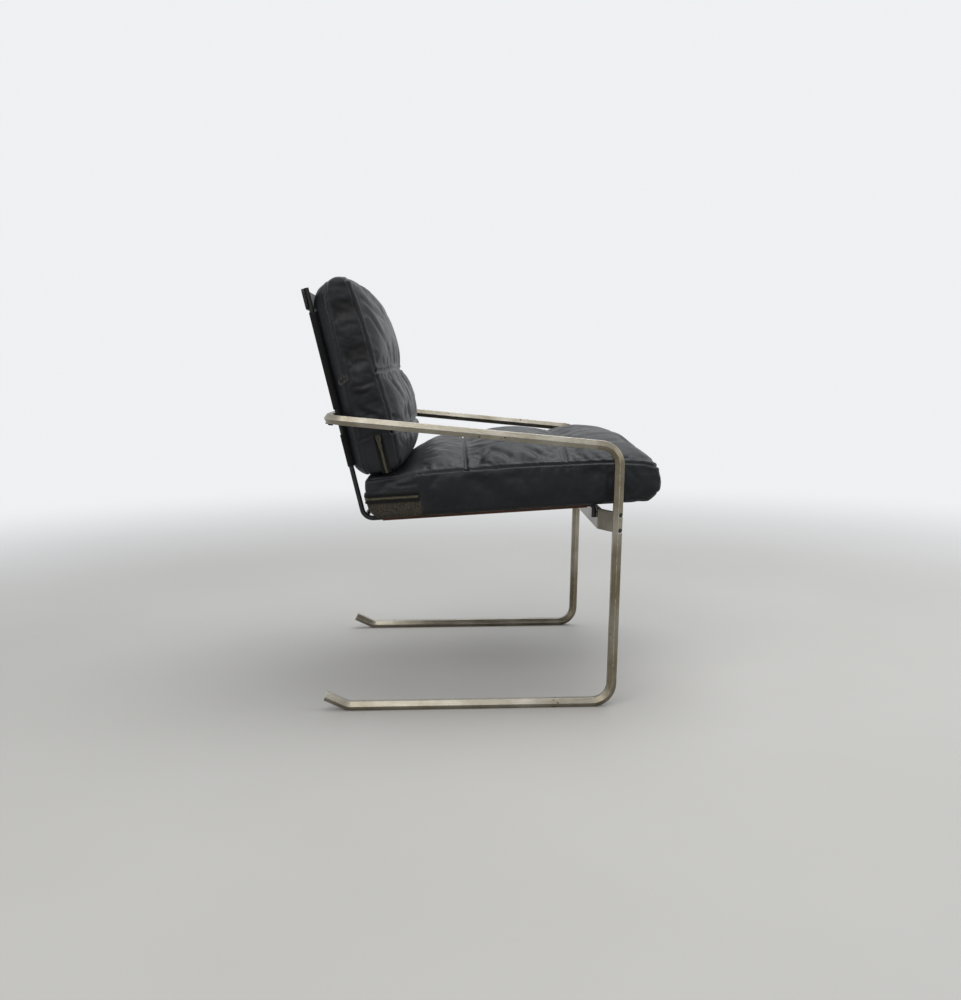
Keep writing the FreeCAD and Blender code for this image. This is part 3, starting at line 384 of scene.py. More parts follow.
def canvas(name, dark, light, thread):
    """Plain weave on the sling's own map: u runs along the rods in metres, v across the chair."""
    thread_pitch, stitch_pitch = 0.0016, 0.0045
    material, tree, shader = new_material(name)
    where = node(tree, "ShaderNodeUVMap", uv_map="cloth")
    apart = node(tree, "ShaderNodeSeparateXYZ", [(where.outputs[0], "Vector")])

    def wave(axis, pitch):
        return sums(tree, "SINE", sums(tree, "MULTIPLY", apart.outputs[axis], 2 * math.pi / pitch))

    weave = sums(tree, "MULTIPLY", wave("X", thread_pitch), wave("Y", thread_pitch))
    lift = ranged(tree, weave, -1.0, 1.0)
    fade = node(tree, "ShaderNodeTexNoise", [(where.outputs[0], "Vector")], in_Scale=14.0, in_Detail=8.0)
    shade = two_tones(tree, sums(tree, "MULTIPLY", lift, fade.outputs["Fac"]), 0.0, dark, 0.62, light)
    rows = node(tree, "ShaderNodeAttribute", attribute_name="stitch_row")
    dashes = ranged(tree, wave("X", stitch_pitch), -0.5, -0.2)
    stitch = sums(tree, "MULTIPLY", ranged(tree, rows.outputs["Fac"], 0.72, 0.92), dashes)
    tree.links.new(blended(tree, stitch, shade, thread), shader.inputs["Base Color"])
    shader.inputs["Roughness"].default_value = 0.9
    shader.inputs["Specular IOR Level"].default_value = 0.2
    shader.inputs["Sheen Weight"].default_value = 0.03
    relief(tree, shader, sums(tree, "ADD", lift, stitch), 0.5, 0.0006)
    return material


def sling(name, place, start, end, sag, window, finish):
    """A strip woven flat, then wrapped: section points from one sewn edge round both rods to the other."""
    hem, outer_stitches, inner_stitches = 0.00555, 0.013, 0.022
    rod_zone, below_rod = 0.2292, 0.0012
    half = []
    for inset, depth in ((0.031, 0.0019), (0.024, 0.0024), (0.017, 0.0036), (0.011, 0.0047), (0.006, 0.0053)):
        half.append((rod_y - inset, -depth - sag * (1 - ((rod_y - inset) / rod_y) ** 2)))
    for step in range(13):
        angle = math.radians(-90 + 15 * step)
        half.append((rod_y + hem * math.cos(angle), hem * math.sin(angle)))
    for inset in (0.004, 0.008, 0.013, 0.018, 0.024, 0.031, 0.040):
        ease = math.exp(-(inset / 0.0115) ** 2)
        half.append((rod_y - inset, hem * ease - sag * (1 - ((rod_y - inset) / rod_y) ** 2)))
    flat_part = [(y, -sag * (1 - (y / rod_y) ** 2)) for y in np.linspace(0.19, -0.19, 25)]
    section = [(y, n) for y, n in half] + flat_part + [(-y, n) for y, n in reversed(half)]
    lengths = [0.0]
    for (y0, n0), (y1, n1) in zip(section, section[1:]):
        lengths.append(lengths[-1] + math.hypot(y1 - y0, n1 - n0))
    rows = np.linspace(start, end, 49)
    verts, faces, marks, maps = [], [], [], []
    for row in rows:
        for (y, n), run in zip(section, lengths):
            ripple = 0.0005 * noise.noise(Vector((row * 26, y * 18, 3.1))) * (1 if abs(y) < 0.2 else 0)
            verts.append(place(row, y, n + ripple))
            near = min(abs(abs(y) - (rod_y - outer_stitches)), abs(abs(y) - (rod_y - inner_stitches)))
            marks.append(1.0 if near < 0.0022 else 0.0)
            maps.append((row, run))
    width = len(section)
    for i in range(len(rows) - 1):
        for j in range(width - 1):
            mid = (rows[i] + rows[i + 1]) / 2
            y, n = ((section[j][k] + section[j + 1][k]) / 2 for k in (0, 1))
            if window and window[0] < mid < window[1] and n < below_rod and abs(y) > rod_zone:
                continue
            a = i * width + j
            faces.append((a, a + 1, a + 1 + width, a + width))
    piece = new_piece(name, verts, faces)
    layer = piece.data.uv_layers.new(name="cloth")
    for loop in piece.data.loops:
        layer.data[loop.index].uv = maps[loop.vertex_index]
    sewn = piece.data.attributes.new("stitch_row", "FLOAT", "POINT")
    sewn.data.foreach_set("value", marks)
    thick = piece.modifiers.new("canvas", "SOLIDIFY")
    thick.thickness = 0.0013
    thick.offset = 0
    apply_all(piece)
    piece.data.materials.append(finish)
    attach(piece, "root")
    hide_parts(name)
    return piece


brown_canvas = canvas("brown_canvas", (0.030, 0.015, 0.011), (0.155, 0.068, 0.042), (0.22, 0.15, 0.10))
seat_web = sling("seat_sling", seat_point, 0.034, 0.416, 0.005, None, brown_canvas)
seat_web.name = "seat_sling_cloth"
black_canvas = canvas("black_canvas", (0.004, 0.004, 0.004), (0.018, 0.018, 0.019), (0.04, 0.04, 0.04))
back_web = sling("back_sling", back_point, -0.092, 0.196, 0.003, (-0.032, 0.016), black_canvas)
back_web.name = "back_sling_cloth"

# Seat cushion. A box cushion of black leather over foam: side boxing, a top in three lobes drawn in by two
# cross seams, pleats over the front lobe, and a worn speckled strip under the zip at the rear.
half_width = 0.26797
seat_zip_height, back_zip_height = 0.0386, 0.0636
even_square = 0.0052
puff_frames = 14


def outer_skin(name, node_name):
    """The cover's outside alone, evened out into small squares."""
    source = frame["nodes"][node_name]
    mesh = source.data.copy()
    work = bmesh.new()
    work.from_mesh(mesh)
    bmesh.ops.remove_doubles(work, verts=work.verts, dist=0.00002)
    work.verts.ensure_lookup_table()
    seen = set()
    groups = []
    for start in work.verts:
        if start in seen:
            continue
        found, stack = [], [start]
        seen.add(start)
        while stack:
            here = stack.pop()
            found.append(here)
            for join in here.link_edges:
                there = join.other_vert(here)
                if there not in seen:
                    seen.add(there)
                    stack.append(there)
        groups.append(found)

    def reach(found):
        points = np.array([v.co[:] for v in found])
        return float(np.linalg.norm(points.max(0) - points.min(0)))

    keep = set(max(groups, key=reach))
    bmesh.ops.delete(work, geom=[v for v in work.verts if v not in keep], context="VERTS")
    work.to_mesh(mesh)
    work.free()
    piece = bpy.data.objects.new(name, mesh)
    bpy.context.scene.collection.objects.link(piece)
    mesh.materials.clear()
    remesh = piece.modifiers.new("even", "REMESH")
    remesh.mode = "VOXEL"
    remesh.voxel_size = even_square
    remesh.use_smooth_shade = True
    soften = piece.modifiers.new("soften", "SMOOTH")
    soften.factor = 0.5
    soften.iterations = 2
    apply_all(piece)
    return piece


def coordinates(piece):
    points = np.empty(len(piece.data.vertices) * 3)
    piece.data.vertices.foreach_get("co", points)
    return points.reshape(-1, 3)


def write_back(piece, points):
    piece.data.vertices.foreach_set("co", points.ravel())
    piece.data.update()


def normals_of(piece):
    normals = np.empty(len(piece.data.vertices) * 3)
    piece.data.vertex_normals.foreach_get("vector", normals)
    return normals.reshape(-1, 3)


def in_seat(points):
    dx = points[:, 0] - seat_corner[0]
    dz = points[:, 2] - seat_corner[1]
    return (dx * math.cos(seat_slope) + dz * math.sin(seat_slope), points[:, 1],
            dz * math.cos(seat_slope) - dx * math.sin(seat_slope))


def in_back(points):
    dx = points[:, 0] - bar_crossing[0]
    dz = points[:, 2] - bar_crossing[1]
    return (dz * math.cos(rod_lean) - dx * math.sin(rod_lean), points[:, 1],
            dx * math.cos(rod_lean) + dz * math.sin(rod_lean))


line_step = 0.002


def dense(points, step=line_step):
    out = []
    for a, b in zip(points, points[1:]):
        count = max(1, int((b - a).length / step))
        out += [a.lerp(b, i / count) for i in range(count)]
    return out + [points[-1]]


def lay_on(piece, points):
    """The same points, moved to the nearest place on the leather."""
    tree = BVHTree.FromObject(piece, bpy.context.evaluated_depsgraph_get())
    return [tree.find_nearest(p)[0] for p in points]


def gap_to(points, line):
    """Each point's distance to a line laid on the leather, and how far along the line that is."""
    tree = KDTree(len(line))
    for i, p in enumerate(line):
        tree.insert(p, i)
    tree.balance()
    gaps = np.empty(len(points))
    along = np.empty(len(points))
    for i, p in enumerate(points):
        _, index, distance = tree.find(p)
        gaps[i] = distance
        along[i] = index
    return gaps, along * line_step


def smoothstep(low, high, value):
    t = np.clip((value - low) / (high - low), 0, 1)
    return t * t * (3 - 2 * t)


def puff(piece, lines, cap, pressure):
    """Blow the leather up between its pinned seams, then hold each point within its cap."""
    before = coordinates(piece).copy()
    pinned = piece.vertex_groups.new(name="seams")
    gaps = np.full(len(before), 1.0)
    for line in lines:
        gaps = np.minimum(gaps, gap_to(before, line)[0])
    hold = np.maximum(1 - smoothstep(0.003, 0.011, gaps), (cap < 0.0004).astype(float))
    for i, weight in enumerate(hold):
        if weight > 0.01:
            pinned.add([i], float(weight), "REPLACE")
    cloth = piece.modifiers.new("puff", "CLOTH")
    settings = cloth.settings
    settings.quality = 4
    settings.mass = 0.35
    settings.air_damping = 2
    settings.tension_stiffness = 18
    settings.compression_stiffness = 12
    settings.shear_stiffness = 8
    settings.bending_stiffness = 0.35
    settings.vertex_group_mass = "seams"
    settings.pin_stiffness = 1
    settings.use_pressure = True
    settings.uniform_pressure_force = pressure
    settings.shrink_min = -0.035
    settings.effector_weights.gravity = 0
    cloth.collision_settings.use_collision = False
    cloth.point_cache.frame_start = 1
    cloth.point_cache.frame_end = puff_frames
    for step in range(1, puff_frames + 1):
        bpy.context.scene.frame_set(step)
    apply_all(piece)
    bpy.context.scene.frame_set(1)
    moved = coordinates(piece) - before
    length = np.linalg.norm(moved, axis=1)
    limit = cap * np.tanh(length / np.maximum(cap, 1e-6))
    moved *= (limit / np.maximum(length, 1e-9))[:, None]
    write_back(piece, before + moved)
    piece.vertex_groups.clear()


def refine(piece):
    finer = piece.modifiers.new("finer", "SUBSURF")
    finer.levels = finer.render_levels = 1
    apply_all(piece)


def draw_in(depth, wear, gaps, deep, wide, lip, rub):
    """A sewn seam: a groove with a soft lip on each side, and leather rubbed along the lips."""
    depth -= deep * np.exp(-(gaps / wide) ** 2)
    depth += lip * np.exp(-((gaps - 2.3 * wide) / (1.2 * wide)) ** 2)
    np.maximum(wear, rub * np.exp(-((gaps - 1.6 * wide) / (0.8 * wide)) ** 2), out=wear)


def pucker(depth, gaps, along, reach, height, pitch, seed):
    """Small gathers square to a seam, dying away from it."""
    wave = np.sin(along / pitch * 2 * math.pi + 3.0 * np.sin(along * 31 + seed)) * np.sin(along * 17 + seed * 2)
    depth += height * wave * np.exp(-gaps / reach) * smoothstep(0.002, 0.006, gaps)


def fold(depth, wear, px, py, run, deep, wide, ridge, weight):
    """A crease along a run of points in two coordinates of the leather, deepest in its middle."""
    best = np.full(len(px), 1.0)
    shade = np.zeros(len(px))
    side = np.zeros(len(px))
    total = len(run) - 1
    for i, ((ax, ay), (bx, by)) in enumerate(zip(run, run[1:])):
        dx, dy = bx - ax, by - ay
        t = np.clip(((px - ax) * dx + (py - ay) * dy) / (dx * dx + dy * dy), 0, 1)
        off = np.hypot(px - ax - t * dx, py - ay - t * dy)
        nearer = off < best
        best = np.where(nearer, off, best)
        shade = np.where(nearer, np.sin(math.pi * np.clip((i + t) / total, 0, 1)) ** 0.6, shade)
        side = np.where(nearer, np.sign((px - ax) * dy - (py - ay) * dx), side)
    depth -= deep * np.exp(-(best / wide) ** 2) * shade * weight
    depth += ridge * np.exp(-((best - 1.9 * wide) / (1.3 * wide)) ** 2) * shade * weight * (0.6 + 0.4 * side)
    np.maximum(wear, 0.08 * np.exp(-((best - 1.6 * wide) / wide) ** 2) * shade * weight, out=wear)


def wander(points, scale, seed):
    offset = Vector((seed, seed * 1.7, seed * 0.3))
    return np.array([noise.noise(Vector(p) * scale + offset) for p in points])


def mark(piece, name, values):
    made = piece.data.attributes.new(name, "FLOAT", "POINT")
    made.data.foreach_set("value", np.clip(values, 0, 1))


seat_cushion = outer_skin("seat_cushion", "seat_cover")
edge = half_width - 0.0025
side_seam = [(0.014, 0.076), (0.040, 0.078), (0.091, 0.080), (0.180, 0.083), (0.257, 0.083), (0.367, 0.083),
             (0.472, 0.079), (0.520, 0.073), (0.543, 0.067)]
rear_cross_seam, front_cross_seam = 0.195, 0.381


def seat_ring(side_line, front, rear):
    ring = [seat_point(s, -edge, n) for s, n in side_line]
    ring += [seat_point(front[0], y, front[1]) for y in (-0.25, 0.25)]
    ring += [seat_point(s, edge, n) for s, n in reversed(side_line)]
    ring += [seat_point(rear[0], y, rear[1]) for y in (0.25, -0.25)]
    return ring + [ring[0]]


def over_top(s):
    return [seat_point(s, y, 0.082 + 0.11 * (1 - abs(y / half_width) ** 3.4) * 0.4)
            for y in np.linspace(-edge, edge, 41)]


low_side = [(0.022, 0.004), (0.30, 0.001), (0.52, 0.002), (0.546, 0.012)]
seat_rings = [seat_ring(side_seam, (0.553, 0.064), (0.008, 0.076)),
              seat_ring(low_side, (0.549, 0.018), (0.014, 0.010)),
              over_top(rear_cross_seam), over_top(front_cross_seam)]
seat_seams = [lay_on(seat_cushion, dense(line)) for line in seat_rings]
for side in (-1, 1):
    seat_seams.append(lay_on(seat_cushion, dense([seat_point(0.108, side * edge, 0.080),
                                                  seat_point(0.110, side * edge, 0.004)])))
points = coordinates(seat_cushion)
s, y, n = in_seat(points)
on_top = smoothstep(0.070, 0.095, n) * smoothstep(0.105, 0.150, s)
on_side = smoothstep(0.262, 0.267, np.abs(y)) * smoothstep(0.012, 0.030, n)
nose = smoothstep(0.49, 0.53, s) * smoothstep(0.012, 0.030, n)
under_nose = smoothstep(0.475, 0.520, s) * smoothstep(0.034, 0.020, n)
cap = np.maximum.reduce([0.0085 * on_top, 0.0042 * on_side * smoothstep(0.115, 0.14, s), 0.0055 * nose,
                         0.0048 * under_nose])
puff(seat_cushion, seat_seams, cap, 3.2)
refine(seat_cushion)
seat_seams = [lay_on(seat_cushion, line) for line in seat_seams]

points = coordinates(seat_cushion)
normals = normals_of(seat_cushion)
s, y, n = in_seat(points)
depth = np.zeros(len(points))
wear = np.zeros(len(points))
measured = [gap_to(points, line) for line in seat_seams]
draw_in(depth, wear, measured[0][0], 0.0024, 0.0022, 0.0007, 0.12)
draw_in(depth, wear, measured[1][0], 0.0012, 0.0024, 0.0003, 0.05)
draw_in(depth, wear, measured[2][0], 0.0050, 0.0027, 0.0010, 0.04)
draw_in(depth, wear, measured[3][0], 0.0030, 0.0025, 0.0010, 0.50)
for part in measured[4:]:
    draw_in(depth, wear, part[0], 0.0016, 0.0022, 0.0006, 0.10)
top_area = smoothstep(0.078, 0.092, n)
for number, (gaps, along) in enumerate(measured[2:4]):
    pucker(depth, gaps, along, 0.022, 0.0015, 0.046, number * 1.9 + 0.4)
pucker(depth, measured[0][0], measured[0][1], 0.012, 0.0006, 0.021, 2.2)
open_top = top_area * smoothstep(0.105, 0.135, s)
for mirror in (-1, 1):
    shift = 0.0 if mirror < 0 else 0.012
    yy = y * -mirror
    half_top = open_top * (np.sign(y) == mirror)
    for run, deep, wide in (
            (((0.200, -0.262), (0.243 + shift, -0.212), (0.292 + shift, -0.259)), 0.0036, 0.0072),
            (((0.202, -0.195), (0.250, -0.182), (0.305 - shift, -0.172)), 0.0028, 0.0085),
            (((0.296, -0.212), (0.326, -0.236 + shift), (0.356, -0.256)), 0.0032, 0.0070),
            (((0.262, -0.140), (0.318, -0.184), (0.378, -0.240)), 0.0030, 0.0085),
            (((0.205, -0.110), (0.262, -0.088 + shift), (0.345, -0.080)), 0.0022, 0.0110),
            (((0.205, -0.030), (0.270, -0.020), (0.350, -0.034)), 0.0018, 0.0120),
            (((0.192, -0.226), (0.162, -0.212), (0.120, -0.212)), 0.0026, 0.0080),
            (((0.192, -0.150), (0.165, -0.135), (0.126, -0.130)), 0.0018, 0.0100),
            (((0.386, -0.232), (0.440, -0.206), (0.510, -0.174)), 0.0024, 0.0085),
            (((0.386, -0.186), (0.440, -0.148), (0.518, -0.104)), 0.0028, 0.0085),
            (((0.386, -0.132), (0.445, -0.088), (0.515, -0.038)), 0.0028, 0.0085),
            (((0.386, -0.070), (0.440, -0.024), (0.500, 0.016)), 0.0022, 0.0090)):
        fold(depth, wear, s, yy, run, deep, wide, deep * 0.42, half_top)
    lower = (np.abs(y) > 0.258) * (np.sign(y) == mirror)
    rear_panel = lower * (s < 0.107)
    for run, deep, wide in ((((0.030, 0.058), (0.060, 0.070), (0.098, 0.075)), 0.0036, 0.0060),
                            (((0.014, 0.050), (0.050, 0.056), (0.100, 0.058)), 0.0028, 0.0050),
                            (((0.045, 0.072), (0.070, 0.060), (0.104, 0.063)), 0.0022, 0.0045)):
        fold(depth, wear, s, n, run, deep, wide, deep * 0.5, rear_panel)
    for level_n, high in ((0.0505, 0.0018), (0.0565, 0.0014)):
        depth += high * np.exp(-((n - level_n) / 0.0018) ** 2) * rear_panel
        np.maximum(wear, 0.22 * np.exp(-((n - level_n) / 0.0018) ** 2) * rear_panel, out=wear)
soft_lumps = wander(points, 9.0, 4.2)
small_lumps = wander(points, 34.0, 1.3)
free = smoothstep(0.012, 0.030, n)
clear_of_zip = 1 - np.exp(-((n - seat_zip_height) / 0.010) ** 2) * (s < 0.112)
clear_of_back = np.maximum(smoothstep(0.100, 0.130, s), (np.abs(y) > 0.262) * (s > 0.02))
depth += (0.0016 * soft_lumps + 0.00025 * small_lumps) * free * clear_of_zip * clear_of_back
depth = np.where(s < 0.112, np.minimum(depth, 0.0012) * clear_of_zip, depth)
depth *= np.maximum(clear_of_back, 0.25)
write_back(seat_cushion, points + normals * depth[:, None])
bare = smoothstep(0.112, 0.106, s) * smoothstep(0.034, 0.028, n) * smoothstep(-0.01, 0.006, n)
bare = np.maximum(bare, (s < 0.030) * smoothstep(0.034, 0.028, n))
mark(seat_cushion, "rubbed", np.maximum(wear, 0.04 * smoothstep(0.15, 0.6, wander(points, 22.0, 9.1))))
mark(seat_cushion, "bare", bare)
# The deep mask carries the painted shade laid into folds and seam grooves.
mark(seat_cushion, "deep", smoothstep(0.0004, 0.0042, -depth))

# Leather grain: pebbles with fine lines between them, and longer creases where the hide has folded.
grain, given, result = new_group("leather_grain", [("Scale", "NodeSocketFloat", 620.0)],
                                 [("Height", "NodeSocketFloat"), ("Crease", "NodeSocketFloat")])
place = node(grain, "ShaderNodeTexCoord")
warp = node(grain, "ShaderNodeTexNoise", [(place.outputs["Object"], "Vector")], in_Scale=42.0, in_Detail=3.0)
warp = node(grain, "ShaderNodeVectorMath", [(warp.outputs["Color"], 0)], operation="SCALE", in_Scale=0.012)
moved = node(grain, "ShaderNodeVectorMath", [(place.outputs["Object"], 0), (warp.outputs[0], 1)],
             operation="ADD")
pebbles = node(grain, "ShaderNodeTexVoronoi", [(moved.outputs[0], "Vector"), (given.outputs["Scale"], "Scale")],
               feature="DISTANCE_TO_EDGE")
pebbles = ranged(grain, pebbles.outputs["Distance"], 0.0, 0.22)
cracks = node(grain, "ShaderNodeTexVoronoi", [(moved.outputs[0], "Vector")], feature="DISTANCE_TO_EDGE",
              in_Scale=64.0)
cracks = ranged(grain, cracks.outputs["Distance"], 0.0, 0.05)
patch = ranged(grain, cloudy(grain, place, 11.0, 2.0), 0.50, 0.64)
line_mask = sums(grain, "SUBTRACT", patch, sums(grain, "MULTIPLY", patch, cracks), clamp=True)
total = sums(grain, "SUBTRACT", pebbles, sums(grain, "MULTIPLY", line_mask, 1.6))
grain.links.new(total, result.inputs["Height"])
grain.links.new(line_mask, result.inputs["Crease"])


def leather(name, tone, sheen_tone, rub_tone):
    """Black hide with a blue-grey cast: painted shade in the folds, lighter and duller where rubbed."""
    material, tree, shader = new_material(name)
    skin = node(tree, "ShaderNodeGroup", node_tree=grain)
    where = node(tree, "ShaderNodeTexCoord")
    deep, rub, strip = (node(tree, "ShaderNodeAttribute", attribute_name=label).outputs["Fac"]
                        for label in ("deep", "rubbed", "bare"))
    cloud = ranged(tree, cloudy(tree, where, 7.5, 9.0, in_Roughness=0.6), 0.34, 0.68)
    # Painted shade: the leather goes darker where it sinks into folds and seam grooves, following the deep
    # mask.
    base = blended(tree, deep, blended(tree, cloud, tone, sheen_tone), (0.0025, 0.0025, 0.003))
    fleck = ranged(tree, cloudy(tree, where, 330.0, 5.0), 0.40, 0.64)
    rub_now = sums(tree, "MULTIPLY", rub, fleck)
    base = blended(tree, rub_now, base, rub_tone)
    crease = sums(tree, "MULTIPLY", skin.outputs["Crease"], 0.35)
    base = blended(tree, crease, base, (0.020, 0.020, 0.021))
    speck = cloudy(tree, where, 430.0, 6.0, in_Roughness=0.7)
    speckled = two_tones(tree, speck, 0.40, (0.012, 0.0105, 0.0085), 0.66, (0.085, 0.072, 0.052))
    tree.links.new(blended(tree, strip, base, speckled), shader.inputs["Base Color"])
    rough = ranged(tree, cloud, 0.0, 1.0, 0.30, 0.44)
    dulled = sums(tree, "MAXIMUM", rub_now, strip)
    rough = node(tree, "ShaderNodeMix", [(dulled, "Factor"), (rough, "A")], in_B=0.78)
    tree.links.new(rough.outputs[0], shader.inputs["Roughness"])
    height = sums(tree, "ADD", sums(tree, "MULTIPLY", speck, strip), skin.outputs["Height"])
    relief(tree, shader, height, 0.32, 0.00035)
    shader.inputs["Specular IOR Level"].default_value = 0.24
    shader.inputs["Sheen Weight"].default_value = 0.02
    return material


seat_cushion.data.materials.append(leather("seat_leather", (0.0036, 0.0040, 0.0054), (0.0078, 0.0086, 0.0112),
                                           (0.085, 0.078, 0.066)))
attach(seat_cushion, "root")
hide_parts("seat_cover", "seat_core")

# Back cushion. The same leather over foam, standing on the seat and leaning on its sling: a rear boxing
# strip, a side panel with two slack dents, and a front in three lobes between worn cross seams.
back_cushion = outer_skin("back_cushion", "back_cover")
rear_seam = [(0.238, 0.028), (0.186, 0.030), (0.148, 0.030), (0.091, 0.032), (0.062, 0.031), (0.003, 0.028),
             (-0.024, 0.028), (-0.100, 0.024)]
front_seam = [(0.236, 0.078), (0.222, 0.081), (0.194, 0.084), (0.161, 0.087), (0.123, 0.088), (0.079, 0.089),
              (0.033, 0.091), (-0.004, 0.094), (-0.046, 0.093), (-0.096, 0.090)]


def round_back(side_line, top_u, top_w, foot_w):
    ring = [back_point(u, -edge, w) for u, w in side_line]
    ring += [back_point(-0.114, y, foot_w) for y in (-0.25, 0.25)]
    ring += [back_point(u, edge, w) for u, w in reversed(side_line)]
    ring += [back_point(top_u, y, top_w) for y in (0.25, -0.25)]
    return ring + [ring[0]]


def over_front(u):
    return [back_point(u, y, 0.090 + 0.03 * (1 - abs(y / half_width) ** 3.4))
            for y in np.linspace(-edge, edge, 41)]


back_rings = [round_back(rear_seam, 0.247, 0.040, 0.030), round_back(front_seam, 0.243, 0.080, 0.084),
              over_front(0.066), over_front(-0.046)]
back_seams = [lay_on(back_cushion, dense(line)) for line in back_rings]
for side in (-1, 1):
    for run in (((-0.046, 0.093), (-0.043, 0.060), (-0.048, 0.028)),
                ((0.065, 0.032), (0.062, 0.018), (0.062, 0.008))):
        back_seams.append(lay_on(back_cushion, dense([back_point(u, side * edge, w) for u, w in run])))
points = coordinates(back_cushion)
u, y, w = in_back(points)
on_front = smoothstep(0.078, 0.096, w) * smoothstep(-0.085, -0.050, u)
on_side = smoothstep(0.262, 0.267, np.abs(y)) * smoothstep(-0.105, -0.080, u)
on_head = smoothstep(0.225, 0.240, u)
cap = np.maximum.reduce([
    (0.0070 + 0.0015 * smoothstep(0.05, 0.08, u)) * on_front,
    0.0060 * on_side * smoothstep(0.030, 0.040, w) * smoothstep(-0.05, -0.02, u),
    0.0012 * on_head])
puff(back_cushion, back_seams, cap, 3.2)
refine(back_cushion)
back_seams = [lay_on(back_cushion, line) for line in back_seams]

points = coordinates(back_cushion)
normals = normals_of(back_cushion)
u, y, w = in_back(points)
depth = np.zeros(len(points))
wear = np.zeros(len(points))
measured = [gap_to(points, line) for line in back_seams]
high_up = smoothstep(0.10, 0.20, u)
over_head = 1 - 0.75 * smoothstep(0.226, 0.238, u)
draw_in(depth, wear, measured[0][0], 0.0018 * over_head, 0.0023, 0.0006 * over_head, 0.10 + 0.45 * high_up)
draw_in(depth, wear, measured[1][0], 0.0034, 0.0023, 0.0009, 0.10)
draw_in(depth, wear, measured[2][0], 0.0030, 0.0025, 0.0014, 0.50)
draw_in(depth, wear, measured[3][0], 0.0042, 0.0027, 0.0012, 0.10)
for part in measured[4:]:
    draw_in(depth, wear, part[0], 0.0024, 0.0022, 0.0012, 0.10 + 0.75 * (u > 0.02))
for number, (gaps, along) in enumerate(measured[1:4]):
    pucker(depth, gaps, along, 0.020, 0.0013 if number else 0.0005, 0.044, number * 2.3 + 0.9)
for mirror in (-1, 1):
    shift = 0.0 if mirror < 0 else 0.010
    yy = y * -mirror
    side_face = (np.sign(y) == mirror) * smoothstep(0.2585, 0.2655, np.abs(y))
    between = smoothstep(0.034, 0.044, w) * smoothstep(0.090, 0.080, w)
    for middle_u, slant, deep, wide in ((0.184, 0.10, 0.0050, 0.0140), (0.098 + shift, 0.16, 0.0052, 0.0150),
                                        (0.006, 0.10, 0.0024, 0.0130)):
        sunk = np.exp(-((u - middle_u - slant * (w - 0.06)) / wide) ** 2)
        depth -= deep * sunk * side_face * between
    for run, deep, wide in ((((0.050, 0.040), (0.046, 0.060), (0.050, 0.082)), 0.0016, 0.0034),
                            (((0.036, 0.038), (0.032, 0.058), (0.037, 0.076)), 0.0014, 0.0032),
                            (((0.205, 0.050), (0.196, 0.066), (0.200, 0.082)), 0.0016, 0.0045),
                            (((0.120, 0.042), (0.112, 0.060), (0.116, 0.080)), 0.0014, 0.0040),
                            (((-0.020, 0.040), (-0.026, 0.062), (-0.022, 0.084)), 0.0012, 0.0040)):
        fold(depth, wear, u, w, run, deep, wide, deep * 0.5, side_face)
    half_front = smoothstep(0.084, 0.098, w) * (np.sign(y) == mirror)
    for run, deep, wide in (
            (((0.214, -0.260), (0.178, -0.205), (0.160, -0.120)), 0.0030, 0.0075),
            (((0.196, -0.262), (0.140, -0.214), (0.096, -0.165)), 0.0030, 0.0072),
            (((0.225, -0.170), (0.190, -0.110), (0.165, -0.030)), 0.0018, 0.0100),
            (((0.120, -0.110 + shift), (0.098, -0.095), (0.074, -0.098)), 0.0020, 0.0090),
            (((0.060, -0.230), (0.026, -0.205), (-0.006, -0.180)), 0.0022, 0.0070),
            (((0.058, -0.130), (0.030, -0.110), (-0.010, -0.112)), 0.0018, 0.0090),
            (((0.058, -0.030), (0.030, -0.018 + shift), (-0.010, -0.020)), 0.0016, 0.0090),
            (((-0.052, -0.200), (-0.070, -0.186), (-0.088, -0.180)), 0.0016, 0.0070)):
        fold(depth, wear, u, yy, run, deep, wide, deep * 0.42, half_front)
soft_lumps = wander(points, 9.0, 7.7)
small_lumps = wander(points, 34.0, 2.1)
free = smoothstep(0.010, 0.024, w)
clear_of_zip = 1 - np.exp(-((w - back_zip_height) / 0.010) ** 2) * smoothstep(-0.040, -0.046, u)
clear_of_seat = smoothstep(-0.085, -0.060, u)
depth += (0.0016 * soft_lumps + 0.00025 * small_lumps) * free * clear_of_zip * clear_of_seat
depth = np.where(u < -0.044, np.minimum(depth, 0.0010) * clear_of_zip, depth)
depth = np.where(u < -0.070, np.minimum(depth, 0.0002), depth)
write_back(back_cushion, points + normals * depth[:, None])
mark(back_cushion, "rubbed", np.maximum(wear, 0.04 * smoothstep(0.15, 0.6, wander(points, 22.0, 5.3))))
mark(back_cushion, "bare", np.zeros(len(points)))
# The deep mask carries the painted shade laid into folds and seam grooves.
mark(back_cushion, "deep", smoothstep(0.0004, 0.0042, -depth))
back_cushion.data.materials.append(leather("back_leather", (0.0036, 0.0039, 0.0056), (0.0076, 0.0083, 0.0115),
                                           (0.110, 0.104, 0.092)))
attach(back_cushion, "root")
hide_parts("back_cover", "back_core")

# Zips. Woven olive tape glued down round three sides of a cushion, two rows of moulded teeth on it that mesh
# in the middle, and a dark metal slider with a pull on each.


tape_gap, tape_thickness, tooth_pitch = 0.0007, 0.0007, 0.0015


def zip_line(reach, end, corner):
    """The tape's middle line, from its right end round the cushion to its left end."""
    half = half_width + tape_gap
    run = [Vector((-reach, -half, 0))]
    for middle_y, start in ((corner - half, -90), (half - corner, 0)):
        for step in range(9):
            angle = math.radians(start + 90 * step / 8)
            run.append(Vector((end - corner + corner * math.cos(angle),
                               middle_y + corner * math.sin(angle), 0)))
    return dense(run + [Vector((-reach, half, 0))], tooth_pitch)


